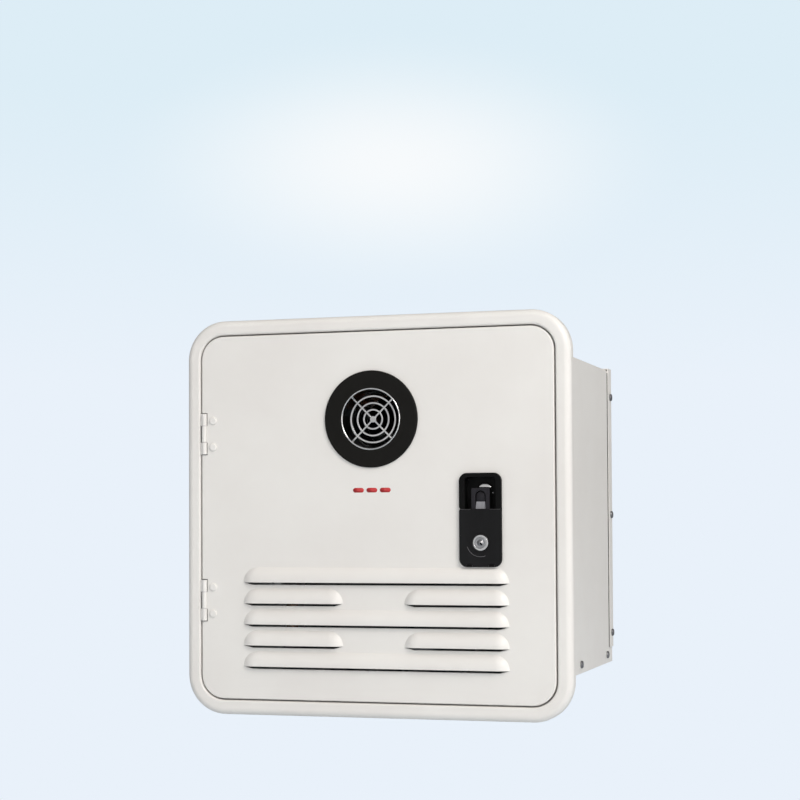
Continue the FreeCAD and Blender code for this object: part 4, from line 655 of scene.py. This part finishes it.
def notch_painted_shade(looks):
    """Dark strips behind the hinge knuckles, seen through the notches of the door: painted shade
    in the gaps round the knuckles.
    """
    outer = (LEAF_HIGH.z - LEAF_LOW.z) / 2 + PAINTED_SHADE_LAP
    inner = outer - KNUCKLE_LENGTH - 2 * PAINTED_SHADE_LAP
    for name, low, high in (("notch_painted_shade_upper", inner, outer), ("notch_painted_shade_lower", -outer, -inner)):
        rings = []
        for inset, depth in PAINTED_SHADE_RINGS:
            left, right = DOOR_LEFT + PAINTED_SHADE_MARGIN + inset, DOOR_LEFT + PAINTED_SHADE_REACH - inset
            rings.append([
                Vector((x, PAINTED_SHADE_Y + depth, z))
                for x, z in ((left, low + inset), (right, low + inset),
                             (right, high - inset), (left, high - inset))
            ])
        piece(name, [rings], looks["foam"], "door")


# Dark strip along the case's seam, painted shade for the seam's shadow: its section as a reach off
# the case's side and a share of its width
SEAM_LOW = -0.1435
SEAM_TOP_GAP = 0.0036
SEAM_WIDTH = 0.0009
SEAM_END = 0.0004
SEAM_SLIM = 0.6
SEAM_SECTION = ((-0.0001, -1.0), (0.0004, -0.9), (0.0007, -0.5), (0.0007, -0.1),
                (-0.0001, -0.05))


def seam_painted_shade(looks):
    """A dark bead-shaped strip where the rear cover laps the case on both sides: painted shade for
    the seam's shadow.
    """
    top = CASE_HIGH.z - SEAM_TOP_GAP
    stations = ((SEAM_LOW, SEAM_SLIM), (SEAM_LOW + SEAM_END, 1.0), (0.0, 1.0),
                (top - SEAM_END, 1.0), (top, SEAM_SLIM))
    for name, side in (("seam_painted_shade_right", 1), ("seam_painted_shade_left", -1)):
        rings = [
            [Vector((side * (CASE_HIGH.x + reach * slim), COVER_LOW.y + share * SEAM_WIDTH, z))
             for reach, share in SEAM_SECTION]
            for z, slim in stations
        ]
        piece(name, [rings], looks["black_rubber"], "root")


# Stage
FLOOR_LEVEL = -0.42
DOME_RADIUS = 14.0
DOME_SEGMENTS = 48
FLOOR_SEGMENTS = 8
FLOOR_COLOUR = linear(232, 240, 247)
BACK_LOW, BACK_HIGH = linear(233, 241, 250), linear(221, 237, 246)
BACK_START, BACK_END = 1.2, 3.6
HAZE_COLOUR = linear(247, 250, 252)
HAZE_PLACE = Vector((-4.0, 12.95, 3.0))
HAZE_SQUASH = Vector((1.0, 1.0, 2.2))
HAZE_REACH = 2.5


def background(name, shader):
    """Shows the photograph's background to the camera, and a plain shader to other rays."""
    look = Finish(name)
    look.tree.nodes.remove(look.shader)
    away = look.node("ShaderNodeVectorMath", operation="DISTANCE")
    away.inputs[1].default_value = HAZE_PLACE * HAZE_SQUASH
    look.join(look.stretched(HAZE_SQUASH), away.inputs[0])
    haze = look.ramp(away.outputs["Value"], low=HAZE_REACH, high=0.0, kind="SMOOTHSTEP")
    split = look.node("ShaderNodeSeparateXYZ")
    look.join(look.place, split.inputs["Vector"])
    upper = look.ramp(split.outputs["Z"], low=BACK_START, high=BACK_END)
    glow = look.node("ShaderNodeEmission")
    look.join(look.mix(haze, look.mix(upper, BACK_LOW, BACK_HIGH), HAZE_COLOUR),
              glow.inputs["Color"])
    plain = look.node(shader)
    if shader == "ShaderNodeBsdfDiffuse":
        plain.inputs["Color"].default_value = (*FLOOR_COLOUR, 1.0)
    blend = look.node("ShaderNodeMixShader")
    look.join(look.node("ShaderNodeLightPath").outputs["Is Camera Ray"], blend.inputs["Fac"])
    look.join(plain.outputs["BSDF"], blend.inputs[1])
    look.join(glow.outputs["Emission"], blend.inputs[2])
    look.join(blend.outputs["Shader"], look.tree.nodes["Material Output"].inputs["Surface"])
    return look.material


def stage():
    """Pale floor, which shows the camera only the background's glow and so none of the object's
    shadow, and a clear dome behind it.
    """
    dome = bmesh.new()
    bmesh.ops.create_uvsphere(dome, u_segments=DOME_SEGMENTS, v_segments=DOME_SEGMENTS // 2,
                              radius=DOME_RADIUS)
    floor = bmesh.new()
    bmesh.ops.create_grid(floor, x_segments=FLOOR_SEGMENTS, y_segments=FLOOR_SEGMENTS,
                          size=DOME_RADIUS)
    for name, shape, shader, level in (
        ("backdrop", dome, "ShaderNodeBsdfTransparent", 0.0),
        ("floor", floor, "ShaderNodeBsdfDiffuse", FLOOR_LEVEL),
    ):
        made = mesh_object(name, shape, background(name, shader))
        made.data.transform(Matrix.Translation((0.0, 0.0, level)))
    bpy.data.objects["backdrop"].visible_shadow = False


# Lights: name, place, size, power and colour of each lamp, all aimed at the door's middle
LAMPS = (
    ("key", Vector((2.17, -1.96, 1.92)), 1.4, 54.0, (1.0, 0.97, 0.92)),
    ("front", Vector((1.0, -3.0, 0.3)), 1.6, 8.0, (1.0, 0.99, 0.97)),
    ("side", Vector((2.7, -1.26, 0.3)), 1.0, 8.0, (1.0, 0.96, 0.93)),
)
ROOM_FRONT, ROOM_BACK = 0.68, 0.2
ROOM_WAY = (-0.42, 0.9, 0.0)
ROOM_BLEND = 0.4
ROOM_COLOUR = (1.0, 0.99, 0.98)


def room_light():
    """Room light, stronger from in front of the heater than from behind it."""
    world = bpy.data.worlds.new("studio")
    world.use_nodes = True
    tree = world.node_tree
    shade = tree.nodes["Background"]
    way = tree.nodes.new("ShaderNodeTexCoord")
    along = tree.nodes.new("ShaderNodeVectorMath")
    along.operation = "DOT_PRODUCT"
    along.inputs[1].default_value = ROOM_WAY
    tree.links.new(way.outputs["Generated"], along.inputs[0])
    ranged = tree.nodes.new("ShaderNodeMapRange")
    for key, value in (("From Min", -ROOM_BLEND), ("From Max", ROOM_BLEND),
                       ("To Min", ROOM_FRONT), ("To Max", ROOM_BACK)):
        ranged.inputs[key].default_value = value
    tree.links.new(along.outputs["Value"], ranged.inputs["Value"])
    tree.links.new(ranged.outputs["Result"], shade.inputs["Strength"])
    shade.inputs["Color"].default_value = (*ROOM_COLOUR, 1.0)
    bpy.context.scene.world = world


def lamps():
    """Square area lamps."""
    for name, place, size, power, colour in LAMPS:
        lamp = bpy.data.lights.new(name, "AREA")
        lamp.shape = "SQUARE"
        lamp.size = size
        lamp.energy = power
        lamp.color = colour
        made = bpy.data.objects.new(name, lamp)
        made.location = place
        made.rotation_euler = (-place).to_track_quat("-Z", "Y").to_euler()
        bpy.context.scene.collection.objects.link(made)


def camera():
    """The photograph's view: place, turn, lens and shift."""
    forward = Vector((
        -math.sin(CAMERA_YAW) * math.cos(CAMERA_PITCH),
        math.cos(CAMERA_YAW) * math.cos(CAMERA_PITCH),
        math.sin(CAMERA_PITCH),
    ))
    right = Vector((math.cos(CAMERA_YAW), math.sin(CAMERA_YAW), 0.0))
    up = right.cross(forward)
    c, s = math.cos(CAMERA_ROLL), math.sin(CAMERA_ROLL)
    right, up = c * right + s * up, c * up - s * right
    view = bpy.data.cameras.new("camera")
    view.sensor_width = SENSOR
    view.lens = FOCAL_PIXELS / PICTURE * SENSOR
    view.shift_y = CENTRE_DROP / PICTURE
    view.clip_end = CLIP_END
    made = bpy.data.objects.new("camera", view)
    made.matrix_world = Matrix((
        (right.x, up.x, -forward.x, CAMERA_PLACE.x),
        (right.y, up.y, -forward.y, CAMERA_PLACE.y),
        (right.z, up.z, -forward.z, CAMERA_PLACE.z),
        (0.0, 0.0, 0.0, 1.0),
    ))
    bpy.context.scene.collection.objects.link(made)
    bpy.context.scene.camera = made


looks = finishes()
dress(looks)
colour_marks()
lock_pieces(looks)
painted_highlight_edges()
slot_plates(looks)
cup_pieces(looks)
notch_painted_shade(looks)
seam_painted_shade(looks)
stage()
room_light()
lamps()
camera()
bpy.context.scene.view_settings.view_transform = "Standard"
